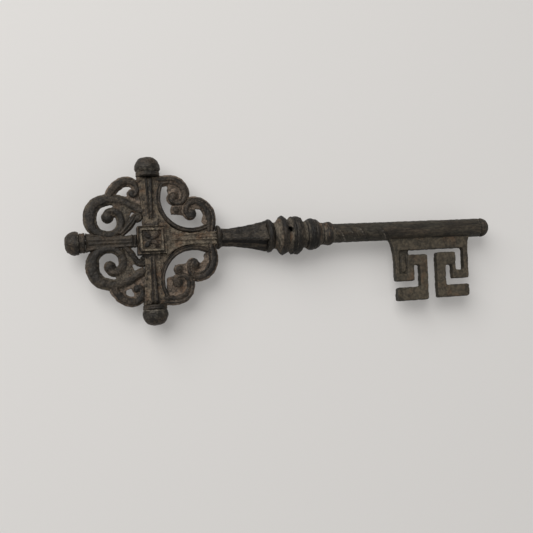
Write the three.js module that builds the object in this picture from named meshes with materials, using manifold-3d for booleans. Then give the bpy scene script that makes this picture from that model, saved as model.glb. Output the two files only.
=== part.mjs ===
// Decorative skeleton key, lying flat. Sizes are in millimetres. +X runs from the bow to the tip,
// +Y runs up the cross of the bow, and +Z comes out of the front face.
// The origin is under the middle of the key, on the surface that the key lies on.

import * as THREE from 'three';
import { mergeVertices } from 'three/addons/utils/BufferGeometryUtils.js';
import Module from 'manifold-3d';

const wasm = await Module();
wasm.setup();

// Fits that all pieces share
const fitGap = 0.3;
const cutOverrun = 1.2;

// Cross of the bow
const armReach = 35.2;
const neckStandoff = 1;
const rightArmReach = armReach + neckStandoff;
const armThickness = 5.4;
const armEdgeBevel = 0.6;
const armRootWidth = 8.6;
const armRootShoulder = 3.6;
const armEndWidth = 12.6;
const leftArmRootWidth = 6.4;
const leftArmEndWidth = 10.4;
const leftArmFlareLength = 10;
const rightArmRootWidth = 17.6;
const rightArmEndWidth = 8;
const ridgeThickness = 8.4;
const ridgeRootWidth = 2.8;
const ridgeEndWidth = 4.8;
const leftRidgeWidth = 3.8;
const rightRidgeWidth = 2.8;
const tenonLength = 2.8;
const tenonWidth = 4;
const tenonThickness = 3;

// Hub at the middle of the cross, with its frames and ornaments
const hubWidth = 15.6;
const hubThickness = 9.8;
const hubPocketDepth = 0.8;
const frameWidth = 13.6;
const frameBarWidth = 1.7;
const frameHeight = 1.4;
const ornamentThickness = 0.7;
const ornamentBumpHeight = 1.1;

// Finial balls and their collars
const finialRadius = 6.7;
const leftFinialRadius = 6.2;
const finialStandoff = 1.9;
const leftFinialStandoff = 1.3;
const collarLength = 3;
const leftCollarLength = 3.6;
const collarRadius = 6.6;
const leftCollarRadius = 5.5;
const collarRounding = 0.7;
const spigotRadius = 1.5;
const spigotGrip = 4;

// Scrollwork between the arms
const strandWidth = 5.6;
const strandThickness = 5.8;
const webThickness = 2.4;
const tongueWidth = 2;
const tongueThickness = 2;
const largeEyeRadius = 3.5;
const smallEyeRadius = 3;
const hookEyeRadius = 1.7;
const lobeEyeRadius = 3.4;
const eyeRise = 0.4;
const arcRadiusShare = 0.508;
const arcRadius = arcRadiusShare * armReach;
const arcWidth = 3.2;
const arcThickness = 6.2;
const budLength = 7;
const budWidth = 4.8;
const budTangReach = 4.6;

// Collar ring and square neck
const neckRingLength = 2.6;
const neckRingRadius = 6.4;
const neckRingEdgeRadius = 5.6;
const neckLength = 26.4;
const neckEndRadius = 8.8;
const neckTurnDegrees = 13;

// Knop
const frontRingLength = 3.6;
const frontRingRadius = 9.7;
const frontRingEdgeRadius = 8.9;
const coveRadius = 8;
const knopBodyLength = 20;
const knopRadius = 11.75;
const knopSecondRadius = 11.3;
const knopGrooveRadius = 10;
const rearBeadLength = 9.6;
const rearBeadRadius = 9.5;
const endRingLength = 7.2;
const endRingRadius = 7.1;
const endRingStartRadius = 6.5;
const endRingEdgeRadius = 5.8;

// Tang and cross pin
const tangRadius = 2.4;
const tangEndRadius = 1.5;
const tangGripInArm = 6;
const tangGripInShank = 12;
const pinRadius = 0.8;
const pinRecess = 5;
const pinPlace = 8.7;
const pinTiltDegrees = 12;

// Shank and tip
const plainShankLength = 37.2;
const bitTipDistance = 9;
const shankRadius = 5.7;
const tipGrooveLength = 0.8;
const tipGrooveRadius = 5.2;
const tipRadius = 5.9;
const tipLength = 7.2;
const tipSpigotRadius = 2;
const tipSpigotGrip = 6;

// Bit, a plate cut as a meander that leans a little. Depths are measured down from the axis of the shank,
// widths from the centre gap outwards. Near is the side of the bow, far the side of the tip.
const bitThickness = 4.6;
const bitDepth = 41.8;
const nearFootDrop = 0.7;
const nearFootInset = 0.9;
const bitRootThickness = 3;
const bitRootDepth = 2.4;
const bitLeanShare = 0.05;
const topBarDepth = 12.3;
const nearInnerBarTop = 14.8;
const farInnerBarTop = 14.1;
const nearInnerBarBottom = 21.4;
const farInnerBarBottom = 22.2;
const nearLowerBarTop = 26.4;
const farLowerBarTop = 25.2;
const lowerBarBottom = 30.8;
const footTop = 34.1;
const nearHalfGap = 2.65;
const farHalfGap = 3;
const nearPostWidth = 5.5;
const farPostWidth = 6.25;
const nearInnerSlotWidth = 3.35;
const farInnerSlotWidth = 4.1;
const nearRiserWidth = 4.55;
const farRiserWidth = 2.7;
const recessWidth = 5.1;
const farOuterSlotWidth = 5;
const nearLegWidth = 3;
const farLegWidth = 3.6;
const recessWebThickness = 2.2;
const recessWebOverhang = 1.5;
const nearFilletLength = 4.8;
const nearFilletDrop = 15;
const farFilletLength = 3;
const farFilletDrop = 7;

// Fineness of the round pieces
const turnedSides = 28;
const spigotSides = 12;
const squareSides = 4;
const beadSteps = 6;
const ballSides = 14;
const ballRings = 8;

// Turned outlines, as [share of the length, share of the radius]
const neckRadiusShares = [
  [0, 0.63], [0.09, 0.6], [0.24, 0.6], [0.38, 0.675], [0.62, 0.77], [0.85, 0.9], [1, 1.02],
];
const tipDomeShares = [
  [0, 1], [0.25, 0.99], [0.5, 0.93], [0.68, 0.83], [0.82, 0.68], [0.92, 0.48], [0.98, 0.25], [1, 0],
];
const frontBeadShare = 0.75;
const knopBeadShares = [0.04, 0.46, 0.9];
const rearBeadShares = [0.03, 0.82];
const endRingCrestShare = 0.6;
const filletShares = [[0, 0], [0.36, 0.08], [0.62, 0.24], [0.82, 0.5], [0.94, 0.76], [1, 1]];

// Sections, as [share of the half width, share of the half thickness], in order round the bar
const strandSectionShares = [
  [-1, -0.35], [-0.62, -1], [0.62, -1], [1, -0.35], [1, 0.35], [0.62, 1], [-0.62, 1], [-1, 0.35],
];
const flutedSectionShares = [
  [-1, -0.55], [-0.72, -1], [-0.3, -1], [0, -0.74], [0.3, -1], [0.72, -1], [1, -0.55],
  [1, 0.55], [0.72, 1], [0.3, 1], [0, 0.74], [-0.3, 1], [-0.72, 1], [-1, 0.55],
];
const squareSectionShares = [[-1, -1], [1, -1], [1, 1], [-1, 1]];

// Places of the scrolls' eyes in the upper half of the bow, as shares of the arm's reach
const largeEyeShares = [-0.651, 0.384];
const smallEyeShares = [-0.259, 0.744];
const hookEyeShares = [-0.168, 0.287];
const endLobeEyeShares = [0.384, 0.68];
const sideLobeEyeShares = [0.654, 0.403];
const arcCentreShares = [0.645, 0.645];
const budShares = [0.412, 0.452];

// Scroll paths, as [degrees round the eye, distance share of the arm's reach, width share of the strand]
const largePathShares = [
  [4, 0.57, 0.8], [17, 0.455, 0.9], [28, 0.389, 0.95], [59, 0.31, 1], [98, 0.268, 1.08],
  [128, 0.263, 1.12], [182, 0.257, 1.16], [222, 0.281, 0.98], [252, 0.281, 0.8], [289, 0.278, 0.72],
  [317, 0.25, 0.66], [344, 0.213, 0.64], [377, 0.196, 0.62], [407, 0.176, 0.6], [450, 0.108, 0.56],
  [500, 0.064, 0.5], [560, 0.048, 0.4],
];
const smallPathShares = [
  [192, 0.375, 0.92], [180, 0.335, 0.95], [165, 0.295, 0.97], [148, 0.262, 0.97], [120, 0.222, 0.95],
  [92, 0.182, 0.9], [60, 0.135, 0.78], [25, 0.088, 0.6], [-20, 0.06, 0.5], [-80, 0.045, 0.42],
  [-140, 0.04, 0.36],
];
const hookPathShares = [
  [214, 0.335, 0.7], [212, 0.27, 0.68], [206, 0.206, 0.66], [190, 0.122, 0.62], [142, 0.078, 0.5],
  [90, 0.058, 0.42], [30, 0.036, 0.34], [-40, 0.026, 0.28],
];
const endLobePathShares = [
  [137, 0.366, 0.9], [128, 0.322, 0.92], [117, 0.29, 0.93], [91, 0.254, 0.95], [60, 0.225, 0.95],
  [35, 0.196, 0.92], [9, 0.178, 0.88], [-21, 0.162, 0.78], [-57, 0.125, 0.64], [-104, 0.09, 0.54],
  [-150, 0.074, 0.5], [-210, 0.06, 0.44], [-280, 0.045, 0.38],
];
const sideLobePathShares = [
  [-44, 0.382, 0.88], [-37, 0.345, 0.9], [-15, 0.3, 0.93], [6, 0.267, 0.95], [26, 0.243, 0.95],
  [46, 0.228, 0.95], [66, 0.21, 0.92], [92, 0.188, 0.88], [122, 0.138, 0.72], [162, 0.092, 0.6],
  [206, 0.07, 0.54], [250, 0.06, 0.48], [310, 0.05, 0.42], [370, 0.044, 0.36],
];
const arcStartDegrees = 158;
const arcEndDegrees = 291;

// Low webs that close part of the scrollwork, as shares of the arm's reach
const largeWebShares = [
  [-0.47, 0.21], [-0.335, 0.33], [-0.285, 0.47], [-0.345, 0.57], [-0.5, 0.64], [-0.57, 0.55], [-0.47, 0.48],
  [-0.435, 0.36],
];
const endLobeWebShares = {
  upper: [
    [0.315, 0.79], [0.34, 0.72], [0.45, 0.62], [0.55, 0.61], [0.58, 0.72], [0.54, 0.84], [0.44, 0.92],
    [0.31, 0.9],
  ],
  lower: [
    [0.2, 0.6], [0.33, 0.56], [0.45, 0.6], [0.55, 0.63], [0.58, 0.72], [0.54, 0.84], [0.44, 0.92],
    [0.31, 0.93], [0.18, 0.88],
  ],
};
const sideLobeWebShares = {
  upper: [
    [0.6, 0.47], [0.7, 0.46], [0.8, 0.46], [0.88, 0.47], [0.83, 0.545], [0.72, 0.6], [0.6, 0.57],
  ],
  lower: [
    [0.56, 0.46], [0.7, 0.42], [0.8, 0.34], [0.84, 0.24], [0.91, 0.26], [0.9, 0.41], [0.84, 0.53],
    [0.72, 0.6], [0.55, 0.55],
  ],
};

// Path samples of the strands
const largePathSteps = 44;
const smallPathSteps = 28;
const hookPathSteps = 16;
const lobePathSteps = 32;
const arcSteps = 18;
const tongueSteps = 4;

// Colours of the worn iron: dark on the raised strands, browner where dust and rust lie
const darkIron = new THREE.Color(0x3d3833);
const brownIron = new THREE.Color(0x6b5c4c);
const dustyIron = new THREE.Color(0x7d6a57);

// Makes a solid out of a closed geometry, ready to be joined and cut
function toSolid(geometry) {
  const bare = geometry.clone();
  bare.deleteAttribute('normal');
  bare.deleteAttribute('uv');
  const merged = mergeVertices(bare);
  const corners = merged.index.array;
  const triangles = [];
  for (let i = 0; i < corners.length; i += 3) {
    const [a, b, c] = [corners[i], corners[i + 1], corners[i + 2]];
    if (a !== b && b !== c && c !== a) {
      triangles.push(a, b, c);
    }
  }
  return new wasm.Manifold(new wasm.Mesh({
    numProp: 3,
    vertProperties: new Float32Array(merged.attributes.position.array),
    triVerts: new Uint32Array(triangles),
  }));
}

function join(...solids) {
  return solids.reduce((whole, solid) => whole.add(solid));
}

function cut(solid, ...tools) {
  return tools.reduce((rest, tool) => rest.subtract(tool), solid);
}

// A cut can shave a sliver off a piece, so only the piece itself is kept
function mainBody(solid) {
  return solid.decompose().reduce((best, body) => (body.volume() > best.volume() ? body : best));
}

// Adds a named piece to a group, in its own material
function addPiece(group, name, solid, color, x = 0) {
  const mesh = mainBody(solid).getMesh();
  const indexed = new THREE.BufferGeometry();
  indexed.setAttribute('position', new THREE.BufferAttribute(new Float32Array(mesh.vertProperties), 3));
  indexed.setIndex(new THREE.BufferAttribute(new Uint32Array(mesh.triVerts), 1));
  const geometry = indexed.toNonIndexed();
  geometry.computeVertexNormals();
  const material = new THREE.MeshStandardMaterial({ color, roughness: 0.82, metalness: 0.55 });
  const piece = new THREE.Mesh(geometry, material);
  piece.name = name;
  piece.position.x = x;
  group.add(piece);
  return piece;
}

// A box between two corners
function box(low, high) {
  const size = new THREE.Vector3().subVectors(high, low);
  const geometry = new THREE.BoxGeometry(size.x, size.y, size.z);
  geometry.translate((low.x + high.x) / 2, (low.y + high.y) / 2, (low.z + high.z) / 2);
  return toSolid(geometry);
}

// A flat plate of the given outline, centred on the plane of the bow, with bevelled edges
function plate(outline, thickness, bevel) {
  const shape = new THREE.Shape(outline.map(([x, y]) => new THREE.Vector2(x, y)));
  const geometry = new THREE.ExtrudeGeometry(shape, {
    depth: thickness - 2 * bevel,
    bevelEnabled: bevel > 0,
    bevelThickness: bevel,
    bevelSize: bevel,
    bevelOffset: -bevel,
    bevelSegments: 1,
    curveSegments: 1,
  });
  geometry.translate(0, 0, bevel - thickness / 2);
  return toSolid(geometry);
}

// An outline moved outwards by a distance, corner by corner. Its points run anticlockwise.
function grownOutline(outline, distance) {
  return outline.map((point, i) => {
    const here = new THREE.Vector2(...point);
    const before = new THREE.Vector2(...outline[(i + outline.length - 1) % outline.length]);
    const after = new THREE.Vector2(...outline[(i + 1) % outline.length]);
    const inward = here.clone().sub(before).normalize();
    const onward = after.sub(here).normalize();
    const side = new THREE.Vector2(inward.y, -inward.x);
    const bisector = side.clone().add(new THREE.Vector2(onward.y, -onward.x)).normalize();
    const moved = here.addScaledVector(bisector, distance / bisector.dot(side));
    return [moved.x, moved.y];
  });
}

// A bar swept along flat stations of [x, y, width], with a section that goes round its centre line.
// grow makes the bar that much larger all round, for the space that it needs in its neighbours.
function sweptBar(stations, thickness, sectionShares, grow = 0) {
  const path = stations.map(([x, y]) => new THREE.Vector2(x, y));
  const last = path.length - 1;
  const headings = path.map((_, i) => (
    path[Math.min(i + 1, last)].clone().sub(path[Math.max(i - 1, 0)]).normalize()
  ));
  path[0].addScaledVector(headings[0], -grow);
  path[last].addScaledVector(headings[last], grow);
  const sides = sectionShares.length;
  const points = [];
  stations.forEach(([, , width], i) => {
    const halfWidth = width / 2 + grow;
    sectionShares.forEach(([sideShare, depthShare]) => {
      points.push(
        path[i].x - headings[i].y * halfWidth * sideShare,
        path[i].y + headings[i].x * halfWidth * sideShare,
        (thickness / 2 + grow) * depthShare,
      );
    });
  });
  const triangles = [];
  for (let i = 0; i < last; i += 1) {
    for (let j = 0; j < sides; j += 1) {
      const a = i * sides + j;
      const b = i * sides + ((j + 1) % sides);
      triangles.push(a, b, b + sides, a, b + sides, a + sides);
    }
  }
  const startCentre = points.length / 3;
  points.push(path[0].x, path[0].y, 0, path[last].x, path[last].y, 0);
  for (let j = 0; j < sides; j += 1) {
    const next = (j + 1) % sides;
    triangles.push(startCentre, next, j);
    triangles.push(startCentre + 1, last * sides + j, last * sides + next);
  }
  const geometry = new THREE.BufferGeometry();
  geometry.setAttribute('position', new THREE.Float32BufferAttribute(points, 3));
  geometry.setIndex(triangles);
  return toSolid(geometry);
}

// The points of a scroll's centre line. side is 1 in the upper half of the bow and -1 in the lower half.
function scrollStations(eyeShares, pathShares, steps, side) {
  const knots = pathShares.map(([degrees, distanceShare, widthShare]) => new THREE.Vector3(
    THREE.MathUtils.degToRad(degrees), distanceShare * armReach, widthShare * strandWidth,
  ));
  return new THREE.CatmullRomCurve3(knots, false, 'catmullrom', 0.5).getPoints(steps).map((knot) => [
    eyeShares[0] * armReach + knot.y * Math.cos(knot.x),
    side * (eyeShares[1] * armReach + knot.y * Math.sin(knot.x)),
    knot.z,
  ]);
}

// The first stretch of a strand, drawn down to a tongue that enters the neighbour's side
function tongue(stations, reachSteps, grow = 0) {
  const stretch = stations.slice(0, reachSteps).map(([x, y]) => [x, y, tongueWidth]);
  return sweptBar(stretch, tongueThickness, squareSectionShares, grow);
}

// The round knob at the middle of a scroll
function eyeKnob(eyeShares, radius, side, grow = 0) {
  const geometry = new THREE.SphereGeometry(radius + grow, ballSides, ballRings);
  geometry.scale(1, 1, (strandThickness / 2 + eyeRise) / radius);
  geometry.translate(eyeShares[0] * armReach, side * eyeShares[1] * armReach, 0);
  return toSolid(geometry);
}

// The tang that holds a bud in the notch between the two lobes of its quarter
function budTang(side, grow = 0) {
  const [x, y] = budShares.map((share) => share * armReach);
  const reach = (budLength / 2 + budTangReach) * Math.SQRT1_2;
  return sweptBar(
    [[x, side * y, tongueWidth], [x + reach, side * (y + reach), tongueWidth]],
    tongueThickness,
    squareSectionShares,
    grow,
  );
}

// A low web. Its points run anticlockwise in the upper half of the bow.
function web(webShares, side, grow = 0) {
  const outline = grownOutline(webShares.map(([x, y]) => [x * armReach, y * armReach]), grow);
  return plate(outline.map(([x, y]) => [x, side * y]), webThickness + 2 * grow, 0);
}

// A turned piece round the X axis, from [distance along the axis, radius] pairs that close on themselves
// or start and end on the axis
function turned(profile, sides = turnedSides) {
  const points = profile.map(([along, radius]) => new THREE.Vector2(radius, along));
  const geometry = new THREE.LatheGeometry(points, sides);
  geometry.rotateZ(-Math.PI / 2);
  return toSolid(geometry);
}

function rod(start, end, radius, sides = spigotSides) {
  return turned([[start, 0], [start, radius], [end, radius], [end, 0]], sides);
}

// The rounded line of a bead or a cove between two places on a turned piece
function swell(start, end, startRadius, endRadius, crestRadius) {
  return Array.from({ length: beadSteps + 1 }, (_, i) => {
    const share = i / beadSteps;
    const straight = THREE.MathUtils.lerp(startRadius, endRadius, share);
    const rise = crestRadius - (startRadius + endRadius) / 2;
    return [THREE.MathUtils.lerp(start, end, share), straight + rise * Math.sin(Math.PI * share)];
  });
}

// A turned piece with a bore through it
function bored(profile, boreRadius) {
  const start = profile[0][0];
  const end = profile[profile.length - 1][0];
  return turned([[start, boreRadius], ...profile, [end, boreRadius], [start, boreRadius]]);
}

const bow = new THREE.Group();
const hubHalf = hubWidth / 2;

// Arc mouldings, one in each right-hand quarter of the bow
function arcBar(side, grow = 0) {
  const stations = Array.from({ length: arcSteps + 1 }, (_, i) => {
    const degrees = THREE.MathUtils.lerp(arcStartDegrees, arcEndDegrees, i / arcSteps);
    const angle = THREE.MathUtils.degToRad(degrees);
    return [
      arcCentreShares[0] * armReach + arcRadius * Math.cos(angle),
      side * (arcCentreShares[1] * armReach + arcRadius * Math.sin(angle)),
      arcWidth,
    ];
  });
  return sweptBar(stations, arcThickness, grow > 0 ? squareSectionShares : flutedSectionShares, grow);
}

// Outlines of the arms, each running anticlockwise
function upArmOutline(side) {
  const outline = [
    [-armRootWidth / 2, hubHalf + fitGap],
    [hubHalf, hubHalf + fitGap],
    [hubHalf, hubHalf + armRootShoulder],
    [armRootWidth / 2, hubHalf + 2 * armRootShoulder],
    [armEndWidth / 2, armReach],
    [-armEndWidth / 2, armReach],
  ];
  return side > 0 ? outline : outline.map(([x, y]) => [x, -y]).reverse();
}

const leftArmOutline = [
  [-hubHalf - fitGap, -leftArmRootWidth / 2],
  [-hubHalf - fitGap, leftArmRootWidth / 2],
  [leftArmFlareLength - armReach, leftArmRootWidth / 2],
  [-armReach, leftArmEndWidth / 2],
  [-armReach, -leftArmEndWidth / 2],
  [leftArmFlareLength - armReach, -leftArmRootWidth / 2],
];

// Places and widths along the right arm, which follows the arc mouldings on both sides
const rightArmStations = Array.from({ length: arcSteps + 1 }, (_, i) => {
  const centre = arcCentreShares[0] * armReach;
  const clearRadius = arcRadius + arcWidth / 2 + fitGap;
  const x = THREE.MathUtils.lerp(hubHalf + fitGap, centre, i / arcSteps);
  const edge = arcCentreShares[1] * armReach - Math.sqrt(clearRadius ** 2 - (x - centre) ** 2);
  return [x, 0, Math.min(2 * edge, rightArmRootWidth)];
});
rightArmStations.push([rightArmReach, 0, rightArmEndWidth]);
const rightArmOutline = [
  ...rightArmStations.map(([x, , width]) => [x, -width / 2]),
  ...rightArmStations.map(([x, , width]) => [x, width / 2]).reverse(),
];

// A tenon from an arm into the hub, along X or Y
function tenon(directionX, directionY, grow = 0) {
  const near = hubHalf - tenonLength - grow;
  const far = hubHalf + fitGap + cutOverrun;
  const half = tenonWidth / 2 + grow;
  const low = new THREE.Vector3(-half, -half, -tenonThickness / 2 - grow);
  const high = new THREE.Vector3(half, half, tenonThickness / 2 + grow);
  if (directionX !== 0) {
    low.x = directionX > 0 ? near : -far;
    high.x = directionX > 0 ? far : -near;
  } else {
    low.y = directionY > 0 ? near : -far;
    high.y = directionY > 0 ? far : -near;
  }
  return box(low, high);
}

// The blind bore in an arm's end for a finial's spigot, along the arm
function spigotBore(directionX, directionY) {
  const bore = toSolid(new THREE.CylinderGeometry(
    spigotRadius + fitGap, spigotRadius + fitGap, spigotGrip + fitGap + cutOverrun, spigotSides,
  ).translate(0, armReach + (cutOverrun - spigotGrip - fitGap) / 2, 0).rotateZ(
    Math.atan2(-directionX, directionY),
  ));
  return bore;
}

// Stations of every strand, by name, for both halves of the bow
const strands = { upper: {}, lower: {} };
for (const [half, side] of [['upper', 1], ['lower', -1]]) {
  strands[half].large = scrollStations(largeEyeShares, largePathShares, largePathSteps, side);
  strands[half].small = scrollStations(smallEyeShares, smallPathShares, smallPathSteps, side);
  strands[half].hook = scrollStations(hookEyeShares, hookPathShares, hookPathSteps, side);
  strands[half].endLobe = scrollStations(endLobeEyeShares, endLobePathShares, lobePathSteps, side);
  strands[half].sideLobe = scrollStations(sideLobeEyeShares, sideLobePathShares, lobePathSteps, side);
}
function mortise(stations) {
  return tongue(stations, tongueSteps, fitGap);
}

// Hub: a square block with four sockets for the arms and a pocket in each face
const hubCorner = new THREE.Vector3(hubHalf, hubHalf, hubThickness / 2);
const pocketHalf = frameWidth / 2 + fitGap;
const pocketFloor = hubThickness / 2 - hubPocketDepth;
const pocketTop = hubThickness / 2 + cutOverrun;
const hub = cut(
  box(hubCorner.clone().negate(), hubCorner),
  tenon(1, 0, fitGap),
  tenon(-1, 0, fitGap),
  tenon(0, 1, fitGap),
  tenon(0, -1, fitGap),
  box(
    new THREE.Vector3(-pocketHalf, -pocketHalf, pocketFloor),
    new THREE.Vector3(pocketHalf, pocketHalf, pocketTop),
  ),
  box(
    new THREE.Vector3(-pocketHalf, -pocketHalf, -pocketTop),
    new THREE.Vector3(pocketHalf, pocketHalf, -pocketFloor),
  ),
);
addPiece(bow, 'centre_hub', hub, brownIron);

// Square frame and worn four-part ornament, seated in each pocket of the hub
const frameInnerHalf = frameWidth / 2 - frameBarWidth;
const ornamentHalf = frameInnerHalf - fitGap;
for (const [face, facing] of [['front', 1], ['back', -1]]) {
  const between = (halfWidth, low, high) => box(
    new THREE.Vector3(-halfWidth, -halfWidth, Math.min(facing * low, facing * high)),
    new THREE.Vector3(halfWidth, halfWidth, Math.max(facing * low, facing * high)),
  );
  const frame = cut(
    between(frameWidth / 2, pocketFloor, pocketFloor + frameHeight),
    between(frameInnerHalf, pocketFloor - cutOverrun, pocketFloor + frameHeight + cutOverrun),
  );
  addPiece(bow, `${face}_centre_frame`, frame, dustyIron);
  const bumps = [[-1, -1], [-1, 1], [1, -1], [1, 1]].map(([sideX, sideY]) => {
    const bump = new THREE.SphereGeometry(ornamentHalf / 2, ballSides, ballRings);
    bump.scale(1, 1, ornamentBumpHeight / (ornamentHalf / 2));
    bump.translate(sideX * ornamentHalf / 2, sideY * ornamentHalf / 2, 0);
    bump.translate(0, 0, facing * (pocketFloor + ornamentThickness));
    return toSolid(bump);
  });
  const ornament = cut(
    join(between(ornamentHalf, pocketFloor, pocketFloor + ornamentThickness), ...bumps),
    between(hubHalf, 0, pocketFloor),
  );
  addPiece(bow, `${face}_centre_ornament`, ornament, brownIron);
}

// Arms of the cross: flat bars with a fluted ridge along each face
function upArm(side) {
  const half = side > 0 ? strands.upper : strands.lower;
  const ridge = sweptBar(
    [[0, side * (hubHalf + fitGap), ridgeRootWidth], [0, side * armReach, ridgeEndWidth]],
    ridgeThickness,
    flutedSectionShares,
  );
  return cut(
    join(plate(upArmOutline(side), armThickness, armEdgeBevel), ridge, tenon(0, side)),
    arcBar(side, fitGap),
    spigotBore(0, side),
    mortise(half.large),
    mortise(half.endLobe),
  );
}
addPiece(bow, 'top_arm', upArm(1), dustyIron);
addPiece(bow, 'bottom_arm', upArm(-1), dustyIron);

const leftRidge = sweptBar(
  [[-hubHalf - fitGap, 0, leftRidgeWidth], [-armReach, 0, leftRidgeWidth]],
  ridgeThickness,
  flutedSectionShares,
);
const leftArm = cut(
  join(plate(leftArmOutline, armThickness, armEdgeBevel), leftRidge, tenon(-1, 0)),
  spigotBore(-1, 0),
  mortise(strands.upper.hook),
  mortise(strands.lower.hook),
);
addPiece(bow, 'left_arm', leftArm, darkIron);

const rightRidge = sweptBar(
  [[hubHalf + fitGap, 0, rightRidgeWidth], [rightArmReach, 0, rightRidgeWidth]],
  ridgeThickness,
  flutedSectionShares,
);
const rightArm = cut(
  join(sweptBar(rightArmStations, armThickness, strandSectionShares), rightRidge, tenon(1, 0)),
  rod(rightArmReach - tangGripInArm - fitGap, rightArmReach + cutOverrun, tangEndRadius + fitGap),
  mortise(strands.upper.sideLobe),
  mortise(strands.lower.sideLobe),
);
addPiece(bow, 'right_arm', rightArm, dustyIron);

// Space that the arms take from the scrolls beside them
const armSpace = (outline) => plate(grownOutline(outline, fitGap), strandThickness + 2 * cutOverrun, 0);
const armSpaces = {
  upper: armSpace(upArmOutline(1)),
  lower: armSpace(upArmOutline(-1)),
  left: armSpace(leftArmOutline),
  right: armSpace(rightArmOutline),
};
const hubSpaceCorner = hubCorner.clone().addScalar(fitGap);
const hubSpace = box(hubSpaceCorner.clone().negate(), hubSpaceCorner);

// Scrollwork. Each piece is cut clear of the pieces before it.
for (const [half, side] of [['upper', 1], ['lower', -1]]) {
  const strand = strands[half];
  const upSpace = armSpaces[half];
  const arc = cut(arcBar(side), hubSpace);
  addPiece(bow, `${half}_arc_moulding`, arc, darkIron);

  const largeSolid = (grow) => join(
    sweptBar(strand.large, strandThickness, strandSectionShares, grow),
    eyeKnob(largeEyeShares, largeEyeRadius, side, grow),
  );
  const largeWeb = web(largeWebShares, side);
  const large = cut(join(largeSolid(0), largeWeb), upSpace, armSpaces.left, mortise(strand.small));
  addPiece(bow, `${half}_large_scroll`, join(large, tongue(strand.large, tongueSteps)), darkIron);

  const small = cut(
    join(
      sweptBar(strand.small, strandThickness, strandSectionShares),
      eyeKnob(smallEyeShares, smallEyeRadius, side),
    ),
    upSpace,
    largeSolid(fitGap),
  );
  addPiece(bow, `${half}_small_scroll`, join(small, tongue(strand.small, tongueSteps)), darkIron);

  const hook = cut(
    join(
      sweptBar(strand.hook, strandThickness, strandSectionShares),
      eyeKnob(hookEyeShares, hookEyeRadius, side),
    ),
    upSpace,
    armSpaces.left,
    hubSpace,
    largeSolid(fitGap),
    web(largeWebShares, side, fitGap),
  );
  addPiece(bow, `${half}_hook_scroll`, join(hook, tongue(strand.hook, tongueSteps)), darkIron);

  const arcSpace = arcBar(side, fitGap);
  const sideLobeSolid = (grow) => join(
    sweptBar(strand.sideLobe, strandThickness, strandSectionShares, grow),
    eyeKnob(sideLobeEyeShares, lobeEyeRadius, side, grow),
  );
  const sideLobe = cut(
    join(sideLobeSolid(0), web(sideLobeWebShares[half], side)),
    armSpaces.right,
    arcSpace,
    budTang(side, fitGap),
  );
  addPiece(bow, `${half}_side_lobe_scroll`, join(sideLobe, tongue(strand.sideLobe, tongueSteps)), darkIron);

  const endLobeSolid = (grow) => join(
    sweptBar(strand.endLobe, strandThickness, strandSectionShares, grow),
    eyeKnob(endLobeEyeShares, lobeEyeRadius, side, grow),
  );
  const endLobe = cut(
    join(endLobeSolid(0), web(endLobeWebShares[half], side)),
    upSpace,
    arcSpace,
    sideLobeSolid(fitGap),
    budTang(side, fitGap),
  );
  addPiece(bow, `${half}_end_lobe_scroll`, join(endLobe, tongue(strand.endLobe, tongueSteps)), darkIron);

  const budGeometry = new THREE.SphereGeometry(budWidth / 2, ballSides, ballRings);
  budGeometry.scale(budLength / budWidth, 1, 1);
  budGeometry.rotateZ(side * Math.PI / 4);
  budGeometry.translate(budShares[0] * armReach, side * budShares[1] * armReach, 0);
  const bud = cut(
    join(toSolid(budGeometry), budTang(side)),
    arcSpace,
    cut(join(sideLobeSolid(fitGap), endLobeSolid(fitGap)), budTang(side, fitGap)),
  );
  addPiece(bow, `${half}_bud`, bud, darkIron);
}

// Collars and finial balls on the ends of the arms, turned to point along their arm
const finials = [
  [['top', 'bottom'], finialRadius, finialStandoff, collarRadius, collarLength],
  [['left'], leftFinialRadius, leftFinialStandoff, leftCollarRadius, leftCollarLength],
];
const armTurns = { top: Math.PI / 2, bottom: -Math.PI / 2, left: Math.PI };
for (const [ends, ball, standoff, collar, length] of finials) {
  const seat = armReach + length;
  const collarProfile = [
    [armReach, collar - collarRounding],
    [armReach + collarRounding, collar],
    [seat - collarRounding, collar],
    [seat, collar - collarRounding],
  ];
  const seatAngle = Math.asin(standoff / ball);
  const ballProfile = Array.from({ length: 2 * beadSteps + 1 }, (_, i) => {
    const angle = THREE.MathUtils.lerp(-seatAngle, Math.PI / 2, i / (2 * beadSteps));
    return [seat + standoff + ball * Math.sin(angle), i < 2 * beadSteps ? ball * Math.cos(angle) : 0];
  });
  const spigotStart = armReach - spigotGrip;
  const spigotProfile = [[spigotStart, 0], [spigotStart, spigotRadius], [seat, spigotRadius]];
  const finial = turned([...spigotProfile, ...ballProfile]);
  for (const end of ends) {
    const bore = spigotRadius + fitGap;
    addPiece(bow, `${end}_collar`, bored(collarProfile, bore), darkIron).rotation.z = armTurns[end];
    addPiece(bow, `${end}_finial`, finial, darkIron).rotation.z = armTurns[end];
  }
}

// Neck: a collar ring against the right arm and a square bar that stands near its corner
const neck = new THREE.Group();
neck.position.x = rightArmReach;
const neckRingProfile = [
  [0, neckRingEdgeRadius],
  ...swell(0, neckRingLength, neckRingEdgeRadius, neckRingEdgeRadius, neckRingRadius),
].slice(1);
addPiece(neck, 'neck_ring', bored(neckRingProfile, tangRadius + fitGap), darkIron);
const neckProfile = neckRadiusShares.map(([place, share]) => [place * neckLength, share * neckEndRadius]);
const neckBar = cut(
  turned([[0, 0], ...neckProfile, [neckLength, 0]], squareSides).rotate([neckTurnDegrees, 0, 0]),
  rod(-cutOverrun, neckLength + cutOverrun, tangRadius + fitGap),
);
addPiece(neck, 'square_neck', neckBar, darkIron, neckRingLength);

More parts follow.
